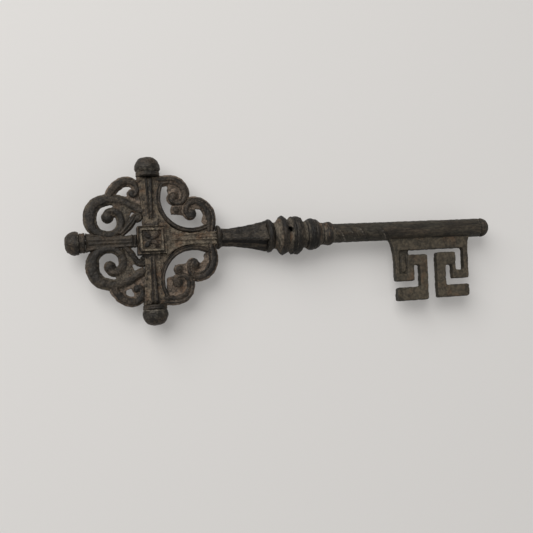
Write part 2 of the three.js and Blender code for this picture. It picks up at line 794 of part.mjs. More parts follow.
// Knop: a ring, the double-bead body, a bead and an end ring, strung on the tang
const knop = new THREE.Group();
knop.position.x = rightArmReach + neckRingLength + neckLength;
const knopBore = tangRadius + fitGap;
const frontRingProfile = [
  ...swell(0, frontRingLength * frontBeadShare, neckEndRadius, frontRingEdgeRadius, frontRingRadius),
  [frontRingLength, coveRadius],
];
addPiece(knop, 'knop_front_ring', bored(frontRingProfile, knopBore), darkIron);

const [beadStart, beadGroove, beadEnd] = knopBeadShares.map((share) => share * knopBodyLength);
const bodyProfile = [
  [0, coveRadius],
  ...swell(beadStart, beadGroove, coveRadius, knopGrooveRadius, knopRadius),
  ...swell(beadGroove, beadEnd, knopGrooveRadius, coveRadius, knopSecondRadius).slice(1),
  [knopBodyLength, coveRadius],
];
function crossRod(length, radius) {
  const geometry = new THREE.CylinderGeometry(radius, radius, length, spigotSides);
  geometry.rotateX(Math.PI / 2 - THREE.MathUtils.degToRad(pinTiltDegrees));
  geometry.translate(pinPlace, 0, 0);
  return toSolid(geometry);
}
const pinHole = crossRod(2 * knopRadius + cutOverrun, pinRadius + fitGap);
const knopBody = cut(bored(bodyProfile, knopBore), pinHole);
addPiece(knop, 'knop_body', knopBody, darkIron, frontRingLength);
const pin = crossRod(2 * (knopRadius - pinRecess), pinRadius);
addPiece(knop, 'cross_pin', pin, brownIron, frontRingLength);

const rearBeadPlace = frontRingLength + knopBodyLength;
const [rearBeadStart, rearBeadEnd] = rearBeadShares.map((share) => share * rearBeadLength);
const rearBeadProfile = [
  [0, coveRadius],
  ...swell(rearBeadStart, rearBeadEnd, coveRadius, endRingRadius, rearBeadRadius),
  [rearBeadLength, endRingStartRadius],
];
addPiece(knop, 'knop_rear_bead', bored(rearBeadProfile, knopBore), darkIron, rearBeadPlace);
const endRingProfile = [
  [0, endRingStartRadius],
  [endRingLength * endRingCrestShare, endRingRadius],
  [endRingLength, endRingEdgeRadius],
];
const endRingPlace = rearBeadPlace + rearBeadLength;
addPiece(knop, 'knop_end_ring', bored(endRingProfile, knopBore), darkIron, endRingPlace);

// Tang: a round rod from the right arm through the neck and the knop into the shank
const knopLength = endRingPlace + endRingLength;
const tangEnd = neckRingLength + neckLength + knopLength + tangGripInShank;
const tang = cut(
  join(rod(0, tangEnd, tangRadius), rod(-tangGripInArm, cutOverrun, tangEndRadius)),
  pinHole.translate([neckRingLength + neckLength + frontRingLength, 0, 0]),
);
addPiece(neck, 'tang', tang, brownIron);

// Shank, with a socket for the tang, a socket for the tip and a slot for the root of the bit
const nearBit = {
  side: -1,
  widths: [nearHalfGap, nearPostWidth, nearInnerSlotWidth, nearRiserWidth, recessWidth, nearLegWidth],
  innerBarTop: nearInnerBarTop,
  innerBarBottom: nearInnerBarBottom,
  lowerBarTop: nearLowerBarTop,
  footBottom: bitDepth + nearFootDrop,
  footInset: nearFootInset,
};
const farBit = {
  side: 1,
  widths: [farHalfGap, farPostWidth, farInnerSlotWidth, farRiserWidth, farOuterSlotWidth, farLegWidth],
  innerBarTop: farInnerBarTop,
  innerBarBottom: farInnerBarBottom,
  lowerBarTop: farLowerBarTop,
  footBottom: bitDepth,
  footInset: 0,
};
const sum = (lengths) => lengths.reduce((total, length) => total + length, 0);
const bitStart = plainShankLength;
const bitCentre = bitStart + sum(nearBit.widths);
const bitEnd = bitCentre + sum(farBit.widths);
const shankLength = bitEnd + bitTipDistance;
const shankGroup = new THREE.Group();
shankGroup.position.x = knop.position.x + knopLength;
const tipProfile = [
  [shankLength - tipSpigotGrip, 0],
  [shankLength - tipSpigotGrip, tipSpigotRadius],
  [shankLength, tipSpigotRadius],
  [shankLength, tipGrooveRadius],
  [shankLength + tipGrooveLength, tipGrooveRadius],
  ...tipDomeShares.map(([place, share]) => [
    shankLength + THREE.MathUtils.lerp(tipGrooveLength, tipLength, place), share * tipRadius,
  ]),
];
function bitRoot(grow) {
  const half = bitRootThickness / 2 + grow;
  return box(
    new THREE.Vector3(bitStart + nearLegWidth - grow, -shankRadius - cutOverrun, -half),
    new THREE.Vector3(bitEnd - farLegWidth + grow, bitRootDepth - shankRadius + grow, half),
  );
}
const shank = cut(
  rod(0, shankLength, shankRadius, turnedSides),
  rod(-cutOverrun, tangGripInShank + fitGap, tangRadius + fitGap),
  rod(shankLength - tipSpigotGrip - fitGap, shankLength + cutOverrun, tipSpigotRadius + fitGap),
  bitRoot(fitGap),
);
addPiece(shankGroup, 'shank', shank, darkIron);
addPiece(shankGroup, 'shank_tip', turned(tipProfile), darkIron);

// Bit: bars of one plate, laid out from the centre gap outwards on each side
const lean = (x, depth) => [x - bitLeanShare * (depth - bitDepth / 2), -depth];
function bitBar(x0, x1, top, bottom, thickness = bitThickness) {
  const [left, right] = [Math.min(x0, x1), Math.max(x0, x1)];
  return plate([lean(left, bottom), lean(right, bottom), lean(right, top), lean(left, top)], thickness, 0);
}
function bitHalf({ side, widths, innerBarTop, innerBarBottom, lowerBarTop, footBottom, footInset }) {
  const edges = widths.map((_, i) => bitCentre + side * sum(widths.slice(0, i + 1)));
  const [postInner, postOuter, riserInner, riserOuter, legInner, legOuter] = edges;
  return join(
    bitBar(bitCentre - side * cutOverrun, legOuter, 0, topBarDepth),
    bitBar(legInner, legOuter, 0, lowerBarBottom),
    bitBar(riserInner, legOuter, lowerBarTop, lowerBarBottom),
    bitBar(riserInner, riserOuter, innerBarTop, lowerBarBottom),
    bitBar(postInner, riserOuter, innerBarTop, innerBarBottom),
    bitBar(postInner, postOuter, innerBarTop, footBottom),
    bitBar(postInner, legOuter - side * footInset, footTop, footBottom),
  );
}
function rootFillet(edge, side, length, drop, legWidth) {
  const start = shankRadius - bitRootDepth / 2;
  const curve = filletShares.map(([along, down]) => (
    lean(edge + side * length * (1 - along), start + drop * down)
  ));
  const outline = [lean(edge + side * length, 0), ...curve, lean(edge - side * legWidth / 2, start + drop),
    lean(edge - side * legWidth / 2, 0)];
  return plate(outline, bitThickness, 0);
}
const recessWeb = bitBar(
  bitStart + nearLegWidth / 2,
  bitStart + nearLegWidth + recessWidth + recessWebOverhang,
  topBarDepth - cutOverrun,
  nearLowerBarTop + cutOverrun,
  recessWebThickness,
);
const bitPlate = cut(
  join(
    bitHalf(nearBit),
    bitHalf(farBit),
    rootFillet(bitStart, nearBit.side, nearFilletLength, nearFilletDrop, nearLegWidth),
    rootFillet(bitEnd, farBit.side, farFilletLength, farFilletDrop, farLegWidth),
    recessWeb,
  ),
  rod(0, shankLength, shankRadius + fitGap, turnedSides),
);
addPiece(shankGroup, 'bit', join(bitPlate, bitRoot(0)), brownIron);

const key = new THREE.Group();
key.position.set(-(knop.position.x + knopLength + shankLength + tipLength
  - (armReach + leftCollarLength + leftFinialStandoff + leftFinialRadius)) / 2, 0, knopRadius);
key.add(bow, neck, knop, shankGroup);
const root = new THREE.Group();
root.add(key);

export default root;
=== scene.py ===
import math

import bmesh
import bpy
from mathutils import Matrix, Vector


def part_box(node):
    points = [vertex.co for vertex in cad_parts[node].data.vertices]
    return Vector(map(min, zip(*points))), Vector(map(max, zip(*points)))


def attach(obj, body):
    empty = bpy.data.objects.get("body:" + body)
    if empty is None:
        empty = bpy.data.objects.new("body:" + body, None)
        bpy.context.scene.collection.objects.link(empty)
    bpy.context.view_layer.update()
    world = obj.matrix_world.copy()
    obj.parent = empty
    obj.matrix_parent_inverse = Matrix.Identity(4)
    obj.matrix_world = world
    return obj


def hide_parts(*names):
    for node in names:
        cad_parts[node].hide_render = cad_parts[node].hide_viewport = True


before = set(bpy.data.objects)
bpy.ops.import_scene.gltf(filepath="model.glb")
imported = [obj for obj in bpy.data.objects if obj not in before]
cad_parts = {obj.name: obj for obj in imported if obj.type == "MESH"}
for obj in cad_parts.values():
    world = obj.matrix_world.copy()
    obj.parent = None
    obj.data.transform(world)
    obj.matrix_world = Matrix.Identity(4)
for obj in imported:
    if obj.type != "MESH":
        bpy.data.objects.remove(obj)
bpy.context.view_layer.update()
MM = 0.001

# The key lies on a plain pale floor under one soft lamp at the upper left, with a weak lamp on the other
# side. The camera stands over the bow at the photograph's angle.
hub_low, hub_high = (Vector(corner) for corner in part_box("centre_hub"))
CENTRE = (hub_low + hub_high) / 2
VIEW_FROM = Vector((-35.5, -49.6, 385.6)) * MM
VIEW_RIGHT = Vector((0.96709, -0.07155, 0.24415))
VIEW_UP = Vector((0.04943, 0.99420, 0.09551))


def placed(name, data):
    """A new object in the scene."""
    thing = bpy.data.objects.new(name, data)
    bpy.context.scene.collection.objects.link(thing)
    return thing


def mesh_of(name, bm):
    """A mesh made from bm, which isn't needed any more."""
    mesh = bpy.data.meshes.new(name)
    bm.to_mesh(mesh)
    bm.free()
    return mesh


camera_data = bpy.data.cameras.new("Camera")
camera_data.sensor_width = 36
camera_data.lens = 47.28
camera_data.clip_start = 0.01
camera = placed("Camera", camera_data)
aim = Matrix((VIEW_RIGHT, VIEW_UP, VIEW_RIGHT.cross(VIEW_UP))).transposed()
camera.matrix_world = Matrix.Translation(CENTRE + VIEW_FROM) @ aim.to_4x4()
bpy.context.scene.camera = camera
bpy.context.scene.view_settings.view_transform = "Standard"

for name, place, size, power in (
    ("Sky_lamp", Vector((-0.86, 0.84, 1.18)), 1.5, 31.0),
    ("Side_lamp", Vector((0.50, -0.30, 0.50)), 0.5, 0.3),
):
    lamp = bpy.data.lights.new(name, "AREA")
    lamp.size = size
    lamp.energy = power
    lamp_object = placed(name, lamp)
    lamp_object.location = place
    lamp_object.rotation_euler = (-place).to_track_quat("-Z", "Y").to_euler()

world = bpy.data.worlds.new("Room")
world.use_nodes = True
sky = world.node_tree.nodes["Background"]
sky.inputs["Color"].default_value = (0.80, 0.80, 0.80, 1)
bpy.context.scene.world = world


def shown_brightly(tree, strength, plain, shown):
    """Links a strength that is plain for the light on the key, and shown where the camera sees it, also in a
    gloss or through glass."""
    paths = tree.nodes.new("ShaderNodeLightPath")
    seen = paths.outputs["Is Camera Ray"]
    for ray in ("Is Glossy Ray", "Is Transmission Ray"):
        either = tree.nodes.new("ShaderNodeMath")
        either.operation = "MAXIMUM"
        tree.links.new(seen, either.inputs[0])
        tree.links.new(paths.outputs[ray], either.inputs[1])
        seen = either.outputs[0]
    level = tree.nodes.new("ShaderNodeMath")
    level.operation = "MULTIPLY_ADD"
    level.inputs[1].default_value = shown - plain
    level.inputs[2].default_value = plain
    tree.links.new(seen, level.inputs[0])
    tree.links.new(level.outputs[0], strength)


shown_brightly(world.node_tree, sky.inputs["Strength"], plain=0.35, shown=0.60)

floor_bm = bmesh.new()
bmesh.ops.create_grid(floor_bm, x_segments=1, y_segments=1, size=3)
floor = placed("Floor", mesh_of("Floor", floor_bm))
floor_paint = bpy.data.materials.new("Pale_floor")
floor_paint.use_nodes = True
floor_shader = floor_paint.node_tree.nodes["Principled BSDF"]
floor_shader.inputs["Base Color"].default_value = (0.53, 0.515, 0.497, 1)
floor_shader.inputs["Emission Color"].default_value = (1, 0.97, 0.935, 1)
shown_brightly(floor_paint.node_tree, floor_shader.inputs["Emission Strength"], plain=0, shown=0.17)
floor_shader.inputs["Roughness"].default_value = 0.9
floor.data.materials.append(floor_paint)

# The hub is the square block at the middle of the cross, with a shallow pocket in each face for its frame. It
# is cast iron: its edges are soft and its skin a little lumpy, as sand casting leaves them.
DARK = (0.015, 0.0128, 0.0103)
BROWN = (0.044, 0.033, 0.023)
DUST = (0.096, 0.076, 0.054)
RUST = (0.092, 0.054, 0.031)
RUBBED = (0.170, 0.148, 0.116)
# Near black for painted shade: deep hollows, pits, little worn edges and the pin's end deep in its hole.
SHADE_BLACK = (0.003, 0.0028, 0.0024)
GLINT = (0.42, 0.38, 0.31)


def ranged(tree, value, low, high, start=0, end=1):
    """A value mapped softly, so that low gives start and high gives end."""
    node = tree.nodes.new("ShaderNodeMapRange")
    node.interpolation_type = "SMOOTHSTEP"
    for socket, number in zip(("From Min", "From Max", "To Min", "To Max"), (low, high, start, end)):
        node.inputs[socket].default_value = number
    tree.links.new(value, node.inputs["Value"])
    return node.outputs[0]


def iron_group():
    """Node group for worn cast iron: dark crests, dust in the hollows, rubbed edges, pits and fine grain,
    with painted shade in deep hollows, pits and little worn edges, and painted glints on crests. Its
    patterns' sizes are in mm, and a relief is over 0 on a crest and under 0 in a hollow."""
    group = bpy.data.node_groups.new("worn_cast_iron", "ShaderNodeTree")
    for kind, way, labels in (
        ("NodeSocketColor", "INPUT", ("Dark", "Brown", "Dust")),
        ("NodeSocketFloat", "INPUT", ("Relief", "Low", "Dustiness", "Wear_and_edge_light", "Rust", "Mottling")),
        ("NodeSocketVector", "INPUT", ("Run",)),
        ("NodeSocketColor", "OUTPUT", ("Color",)),
        ("NodeSocketFloat", "OUTPUT", ("Roughness", "Metallic", "Height")),
    ):
        for label in labels:
            group.interface.new_socket(label, in_out=way, socket_type=kind)
    nodes, links = group.nodes, group.links
    given = nodes.new("NodeGroupInput").outputs
    result = nodes.new("NodeGroupOutput").inputs
    place = nodes.new("ShaderNodeTexCoord").outputs["Object"]
    drawn = nodes.new("ShaderNodeVectorMath")
    drawn.operation = "MULTIPLY"
    links.new(place, drawn.inputs[0])
    links.new(given["Run"], drawn.inputs[1])

    def speckle(size, detail, low, high):
        cloud = nodes.new("ShaderNodeTexNoise")
        cloud.inputs["Scale"].default_value = 1 / (size * MM)
        cloud.inputs["Detail"].default_value = detail
        cloud.inputs["Roughness"].default_value = 0.62
        links.new(drawn.outputs[0], cloud.inputs["Vector"])
        return ranged(group, cloud.outputs[0], low, high)

    def cell_middles(size, low, high):
        cells = nodes.new("ShaderNodeTexVoronoi")
        cells.inputs["Scale"].default_value = 1 / (size * MM)
        links.new(place, cells.inputs["Vector"])
        return ranged(group, cells.outputs["Distance"], low, high)

    def maths(operation, first, second, clamp=True):
        node = nodes.new("ShaderNodeMath")
        node.operation = operation
        node.use_clamp = clamp
        for socket, value in zip(node.inputs, (first, second)):
            if isinstance(value, (int, float)):
                socket.default_value = value
            else:
                links.new(value, socket)
        return node.outputs[0]

    def times(first, second):
        return maths("MULTIPLY", first, second)

    def mixed(first, first_share, second, second_share):
        return maths("ADD", times(first, first_share), times(second, second_share))

    def mottled(value):
        clear = maths("MULTIPLY", given["Mottling"], maths("SUBTRACT", 1, value, False), False)
        return maths("SUBTRACT", 1, clear, False)

    def blended(factor, first, second):
        node = nodes.new("ShaderNodeMix")
        node.data_type = "RGBA"
        links.new(factor, node.inputs["Factor"])
        for socket, value in ((node.inputs["A"], first), (node.inputs["B"], second)):
            if isinstance(value, tuple):
                socket.default_value = (*value, 1)
            else:
                links.new(value, socket)
        return node.outputs["Result"]

    mottle = speckle(3.4, 3, 0.36, 0.64)
    patches = speckle(9.0, 3, 0.42, 0.60)
    rust_patches = speckle(6.1, 2, 0.50, 0.66)
    grain = speckle(0.75, 3, 0.32, 0.68)
    blotches = speckle(1.5, 2, 0.34, 0.66)
    pits = times(cell_middles(1.7, 0.26, 0.10), mottle)
    hollow = ranged(group, given["Relief"], 0.02, -0.16)
    painted_crease_shade = ranged(group, given["Relief"], -0.12, -0.36)
    edge = ranged(group, given["Relief"], 0.10, 0.32)
    uneven = mixed(mottle, 0.75, grain, 0.25)
    rubbing = times(times(edge, ranged(group, uneven, 0.25, 0.85, 0.05, 0.72)), given["Wear_and_edge_light"])
    # Where the edges are little worn, they are kept for painted shade: dark outlines, as where an edge turns
    # from the light.
    painted_edge_shade = times(edge, maths("SUBTRACT", 1, given["Wear_and_edge_light"]))

    settled = maths("ADD", times(hollow, 0.45), given["Low"])
    lying = times(settled, mottled(ranged(group, uneven, 0.05, 0.75, 0.2, 1)))
    dust = times(times(lying, given["Dustiness"]), maths("SUBTRACT", 1, painted_edge_shade))
    skin = blended(times(patches, ranged(group, grain, 0, 1, 0.4, 1)), given["Dark"], given["Brown"])
    powder = blended(times(rust_patches, given["Rust"]), given["Dust"], RUST)
    skin = blended(dust, skin, powder)
    skin = blended(rubbing, skin, RUBBED)
    # Painted shade: the deepest hollows are darkened to near black.
    skin = blended(times(painted_crease_shade, 0.90), skin, SHADE_BLACK)
    # Painted shade: little worn edges are darkened to near black.
    skin = blended(times(painted_edge_shade, 0.85), skin, SHADE_BLACK)
    # Painted shade: the pits are darkened, less where dust lies in them.
    skin = blended(times(times(pits, 0.85), maths("SUBTRACT", 1.1, dust)), skin, SHADE_BLACK)
    blotched = nodes.new("ShaderNodeVectorMath")
    blotched.operation = "SCALE"
    links.new(skin, blotched.inputs[0])
    blotch_level = ranged(group, mixed(blotches, 0.5, grain, 0.5), 0, 1, 0.62, 1.45)
    links.new(mottled(blotch_level), blotched.inputs["Scale"])
    # Painted glints: tiny bright specks on crests, standing in for highlights.
    painted_glints = times(cell_middles(2.3, 0.15, 0.07), times(edge, patches))
    skin = blended(times(painted_glints, given["Wear_and_edge_light"]), blotched.outputs[0], GLINT)
    links.new(skin, result["Color"])
    grain_roughness = ranged(group, grain, 0, 1, 0.46, 0.62)
    links.new(maths("ADD", grain_roughness, times(dust, 0.30)), result["Roughness"])
    links.new(ranged(group, dust, 0, 0.6, 0.30, 0), result["Metallic"])
    height = mixed(grain, 0.40, mottle, 0.60)
    links.new(maths("SUBTRACT", height, times(pits, 0.45)), result["Height"])
    return group


WORN_IRON = iron_group()


# The edge setting lightens rubbed edges and adds painted glints; where it is low, edges get painted shade
# instead.
def iron(name, low_parts, dustiness, dark=DARK, brown=BROWN, dust=DUST, wear_and_edge_light=1.0, rust=0.75,
         mottling=1.0, run=(1, 1, 1), bump=0.6):
    """Worn iron. low_parts is ("height" or "radius", low, high), in mm from the key's middle plane or its
    axis: dust is full at low and gone at high. Marks are drawn out where run is under 1."""
    material = bpy.data.materials.new(name)
    material.use_nodes = True
    nodes, links = material.node_tree.nodes, material.node_tree.links
    shader = nodes["Principled BSDF"]
    shader.inputs["Specular IOR Level"].default_value = 0.26
    worn = nodes.new("ShaderNodeGroup")
    worn.node_tree = WORN_IRON
    for socket, value in (
        ("Dark", (*dark, 1)), ("Brown", (*brown, 1)), ("Dust", (*dust, 1)), ("Dustiness", dustiness),
        ("Wear_and_edge_light", wear_and_edge_light), ("Rust", rust), ("Mottling", mottling), ("Run", run),
    ):
        worn.inputs[socket].default_value = value
    relief = nodes.new("ShaderNodeAttribute")
    relief.attribute_name = "relief"
    links.new(relief.outputs["Fac"], worn.inputs["Relief"])

    kind, low, high = low_parts
    across = int(kind == "radius")
    centred = nodes.new("ShaderNodeMapping")
    centred.vector_type = "POINT"
    centred.inputs["Scale"].default_value = (0, across, 1)
    centred.inputs["Location"].default_value = (0, -CENTRE.y * across, -CENTRE.z)
    links.new(nodes.new("ShaderNodeTexCoord").outputs["Object"], centred.inputs["Vector"])
    length = nodes.new("ShaderNodeVectorMath")
    length.operation = "LENGTH"
    links.new(centred.outputs[0], length.inputs[0])
    lowness = ranged(material.node_tree, length.outputs["Value"], low * MM, high * MM, 1, 0)
    links.new(lowness, worn.inputs["Low"])

    links.new(worn.outputs["Color"], shader.inputs["Base Color"])
    links.new(worn.outputs["Roughness"], shader.inputs["Roughness"])
    links.new(worn.outputs["Metallic"], shader.inputs["Metallic"])
    roughened = nodes.new("ShaderNodeBump")
    roughened.inputs["Strength"].default_value = bump
    roughened.inputs["Distance"].default_value = 0.35 * MM
    links.new(worn.outputs["Height"], roughened.inputs["Height"])
    links.new(roughened.outputs[0], shader.inputs["Normal"])
    return material


def block(bm, low, high):
    """A box between two corners, in mm from the middle of the hub."""
    low, high = Vector(low) * MM, Vector(high) * MM
    place = Matrix.Translation(CENTRE + (low + high) / 2) @ Matrix.Diagonal((*(high - low), 1))
    bmesh.ops.create_cube(bm, size=1, matrix=place)


def square_rim(bm, inner, outer, bottom, top):
    """A square frame of four bars round the middle of the hub, between half its widths inside and outside."""
    for near, far in ((-outer, -inner), (inner, outer)):
        block(bm, (near, -outer, bottom), (far, outer, top))
        block(bm, (-outer, near, bottom), (outer, far, top))


def sand(name, size):
    """The grain of the casting sand, as a pattern for the surface's lumps. size is in mm."""
    pattern = bpy.data.textures.new(name, "CLOUDS")
    pattern.noise_scale = size * MM
    pattern.noise_depth = 1
    return pattern


COARSE_SAND = sand("coarse_sand", 2.8)
FINE_SAND = sand("fine_sand", 1.0)


def worked(mesh, *steps):
    """A new mesh, made from mesh by modifiers given as (kind, {setting: value})."""
    blank = placed("blank", mesh)
    for kind, settings in steps:
        modifier = blank.modifiers.new(kind, kind)
        for setting, value in settings.items():
            setattr(modifier, setting, value)
    made = bpy.data.meshes.new_from_object(blank.evaluated_get(bpy.context.evaluated_depsgraph_get()))
    bpy.data.objects.remove(blank)
    return made


def sand_cast(mesh, lump, fine, level=0.75):
    """Gives a surface a casting's lumps, and notes its relief: crests over 0, hollows under. The lumps'
    heights are in mm, and a higher level lays more of them inwards."""
    cast = worked(
        mesh,
        ("DISPLACE", {"texture": COARSE_SAND, "strength": lump * MM, "mid_level": level}),
        ("DISPLACE", {"texture": FINE_SAND, "strength": fine * MM, "mid_level": level}),
    )
    softened = worked(cast, ("SMOOTH", {"factor": 0.5, "iterations": 36}))
    relief = cast.attributes.new("relief", "FLOAT", "POINT")
    for note, here, soft in zip(relief.data, cast.vertices, softened.vertices):
        note.value = (here.co - soft.co).dot(here.normal) / MM
    return cast


def cast_skin(bm, voxel=0.28, softness=6, lump=0.60, fine=0.34):
    """Runs overlapping forms into one closed skin, softens it and gives it a casting's surface."""
    skin = worked(
        mesh_of("pattern", bm),
        ("REMESH", {"mode": "VOXEL", "voxel_size": voxel * MM}),
        ("SMOOTH", {"factor": 0.5, "iterations": softness}),
    )
    return sand_cast(skin, lump, fine)


def finish_piece(name, mesh, material, slot, *nodes):
    """Makes the finished piece, which stands for CAD nodes and rides on the key."""
    mesh.name = name
    piece = placed(name, mesh)
    mesh.materials.clear()
    mesh.materials.append(material)
    mesh.shade_smooth()
    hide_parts(*nodes)
    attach(piece, "root")


HUB_HALF = 7.8
HUB_DEPTH = 4.9
POCKET_HALF = 7.3
POCKET_FLOOR = 4.1
RIM_ROOT = 0.6
hub_iron = iron("Hub_iron", ("height", 4.5, 4.15), 1.0, brown=(0.060, 0.047, 0.034),
                dust=(0.172, 0.141, 0.102))
hub_bm = bmesh.new()
block(hub_bm, (-HUB_HALF, -HUB_HALF, -POCKET_FLOOR), (HUB_HALF, HUB_HALF, POCKET_FLOOR))
for face in (-1, 1):
    bottom, top = sorted((face * (POCKET_FLOOR - RIM_ROOT), face * HUB_DEPTH))
    square_rim(hub_bm, POCKET_HALF, HUB_HALF, bottom, top)
hub_mesh = cast_skin(hub_bm, voxel=0.24, softness=4, lump=0.35, fine=0.2)
finish_piece("Centre_hub", hub_mesh, hub_iron, "brown_iron", "centre_hub")

# Each face of the hub has a square frame in its pocket and, inside that, a worn four-part ornament. Both are
# cast, and dust fills what is left of the ornament's leaves.
FRAME_OUTER = 6.35
FRAME_INNER = 5.1
FRAME_TOP = 5.45
ORNAMENT_LAP = 0.1
ORNAMENT_HALF = FRAME_INNER + ORNAMENT_LAP
ORNAMENT_ROOT = 0.2
ORNAMENT_GROUND = 4.65
LEAF_PLACE = 2.3
LEAF_LEVEL = 4.6
LEAF_RADII = (2.9, 1.7, 1.15)
BOSS_PLACE = (0.3, 0.2)
BOSS_RADII = (1.3, 1.3, 1.1)
frame_iron = iron("Frame_iron", ("height", 6.0, 7.0), 1.0, dust=(0.146, 0.121, 0.087))
ornament_iron = iron("Ornament_iron", ("height", 4.1, 5.2), 0.9, dark=(0.010, 0.0085, 0.007),
                     brown=(0.050, 0.036, 0.025))


def egg(bm, place, radii, angle=0, fineness=3):
    """A round lump, its place and radii in mm, turned by an angle in degrees on the key's face."""
    matrix = Matrix.Translation(CENTRE + Vector(place) * MM) @ Matrix.Rotation(math.radians(angle), 4, "Z")
    matrix @= Matrix.Diagonal((*radii, 1))
    bmesh.ops.create_icosphere(bm, subdivisions=fineness, radius=MM, matrix=matrix)


for side, face in (("Front", 1), ("Back", -1)):
    bottom, top = sorted((face * POCKET_FLOOR, face * FRAME_TOP))
    frame_bm = bmesh.new()
    square_rim(frame_bm, FRAME_INNER, FRAME_OUTER, bottom, top)
    frame_mesh = cast_skin(frame_bm, voxel=0.18, softness=5, lump=0.25, fine=0.15)
    finish_piece(f"{side}_centre_frame", frame_mesh, frame_iron, "dusty_iron", f"{side.lower()}_centre_frame")

    bottom, top = sorted((face * (POCKET_FLOOR - ORNAMENT_ROOT), face * ORNAMENT_GROUND))
    ornament_bm = bmesh.new()
    block(ornament_bm, (-ORNAMENT_HALF, -ORNAMENT_HALF, bottom), (ORNAMENT_HALF, ORNAMENT_HALF, top))
    for across in (-1, 1):
        for up in (-1, 1):
            leaf_place = (across * LEAF_PLACE, up * LEAF_PLACE, face * LEAF_LEVEL)
            egg(ornament_bm, leaf_place, LEAF_RADII, 45 * across * up)
    egg(ornament_bm, (*BOSS_PLACE, face * LEAF_LEVEL), BOSS_RADII)
    ornament_mesh = cast_skin(ornament_bm, voxel=0.18, softness=5, lump=0.7, fine=0.45)
    finish_piece(f"{side}_centre_ornament", ornament_mesh, ornament_iron, "brown_iron",
                 f"{side.lower()}_centre_ornament")

# The top and bottom arms are flat tapered bars with a fluted double ridge down the middle of each face. They
# are cast iron, with tenons in the hub. Dust has turned the flat bands tan, and the ridge is dark.
ARM_REACH = 35.2
ARM_BAR = ((7.2, 9.4, 8.6), (9, 9.2, 7.2), (12, 9.0, 6.0), (17, 9.2, 5.5), (26, 10.9, 5.4), (35.3, 12.9, 5.6))
ARM_RIDGE = ((20, 4.3, 8.8), (31, 5.4, 8.9), (33.6, 5.8, 8.7), (34.9, 5.8, 7.6))
RIDGE_TIP = (2.2, 5.6)
RIDGE_TOP = (3.2, 8.2)
RIDGE_RISE = 1.3
ARM_SHOULDER = ((2, 7.4), (8.4, 7.4), (8.0, 10.8), (5.6, 14.6), (4.2, 18))
SHOULDER_HALF = 2.5
BLACKENED = (0.0105, 0.0092, 0.0078)
UMBER = (0.026, 0.020, 0.0145)
arm_iron = iron("Arm_iron", ("height", 2.75, 3.4), 0.92, dark=BLACKENED, brown=UMBER,
                dust=(0.116, 0.092, 0.065), wear_and_edge_light=0.6, run=(1, 0.85, 1))


def whole(half_section):
    """A section that is the same on the front and the back, from its front half."""
    inner = [(-across, -up) for across, up in half_section]
    return list(half_section) + [(1.0, 0.0)] + [(a, u) for a, u in inner if abs(a) < 1 or u]


FLUTED = whole(((-1.0, 0.0), (-0.94, 0.45), (-0.72, 0.86), (-0.5, 1.0), (-0.28, 0.96), (-0.1, 0.84),
                (0.1, 0.84), (0.28, 0.96), (0.5, 1.0), (0.72, 0.86), (0.94, 0.45)))
FLAT_BAR = whole(((-1.0, 0.0), (-1.0, 0.62), (-0.93, 0.93), (-0.83, 1.0), (-0.68, 0.9), (0.68, 0.9),
                  (0.83, 1.0), (0.93, 0.93), (1.0, 0.62)))


def sweep(bm, stations, section):
    """Draws a bar through (x, y, width, thickness) stations in mm from the middle of the hub."""
    places = [Vector(station[:2]) for station in stations]
    last = len(stations) - 1
    frames = []
    for i, (x, y, width, thickness) in enumerate(stations):
        along = (places[min(i + 1, last)] - places[max(i - 1, 0)]).normalized()
        frames.append(Matrix((
            (along.x, -along.y * width / 2, 0, x),
            (along.y, along.x * width / 2, 0, y),
            (0, 0, thickness / 2, 0),
            (0, 0, 0, 1),
        )))
    to_metres = Matrix.Translation(CENTRE) @ Matrix.Diagonal((MM, MM, MM, 1))
    ring = [bm.verts.new(to_metres @ frames[0] @ Vector((0, across, up))) for across, up in section]
    edges = [bm.edges.new((ring[i - 1], ring[i])) for i in range(len(ring))]
    bmesh.ops.contextual_create(bm, geom=edges)
    for before, after in zip(frames, frames[1:]):
        grown = bmesh.ops.extrude_edge_only(bm, edges=edges)["geom"]
        verts = [item for item in grown if isinstance(item, bmesh.types.BMVert)]
        new = set(verts)
        edges = [item for item in grown if isinstance(item, bmesh.types.BMEdge) and set(item.verts) <= new]
        step = to_metres @ after @ before.inverted() @ to_metres.inverted()
        bmesh.ops.transform(bm, matrix=step, verts=verts)
    bmesh.ops.contextual_create(bm, geom=edges)
    bmesh.ops.recalc_face_normals(bm, faces=bm.faces)


def bar(bm, direction, stations, section):
    """A straight bar out from the hub, through (distance, width, thickness) stations in mm."""
    across, up = direction
    sweep(bm, [(across * distance, up * distance, *size) for distance, *size in stations], section)


def slab(bm, outline, half):
    """A flat plate of an outline, in mm from the middle of the hub, with half its thickness on each side."""
    verts = [bm.verts.new(CENTRE + Vector((x, y, -half)) * MM) for x, y in outline]
    face = bm.faces.new(verts)
    grown = bmesh.ops.extrude_face_region(bm, geom=[face])["geom"]
    moved = [item for item in grown if isinstance(item, bmesh.types.BMVert)]
    bmesh.ops.translate(bm, vec=Vector((0, 0, 2 * half)) * MM, verts=moved)
    bmesh.ops.recalc_face_normals(bm, faces=bm.faces)


for name, way, ridge_start in (("Top_arm", 1, 11.0), ("Bottom_arm", -1, 9.0)):
    arm_bm = bmesh.new()
    bar(arm_bm, (0, way), ARM_BAR, FLAT_BAR)
    ridge_end = ((ridge_start, *RIDGE_TIP), (ridge_start + RIDGE_RISE, *RIDGE_TOP))
    bar(arm_bm, (0, way), ridge_end + ARM_RIDGE, FLUTED)
    slab(arm_bm, [(x, way * y) for x, y in ARM_SHOULDER], SHOULDER_HALF)
    finish_piece(name, cast_skin(arm_bm), arm_iron, "dusty_iron", name.lower())

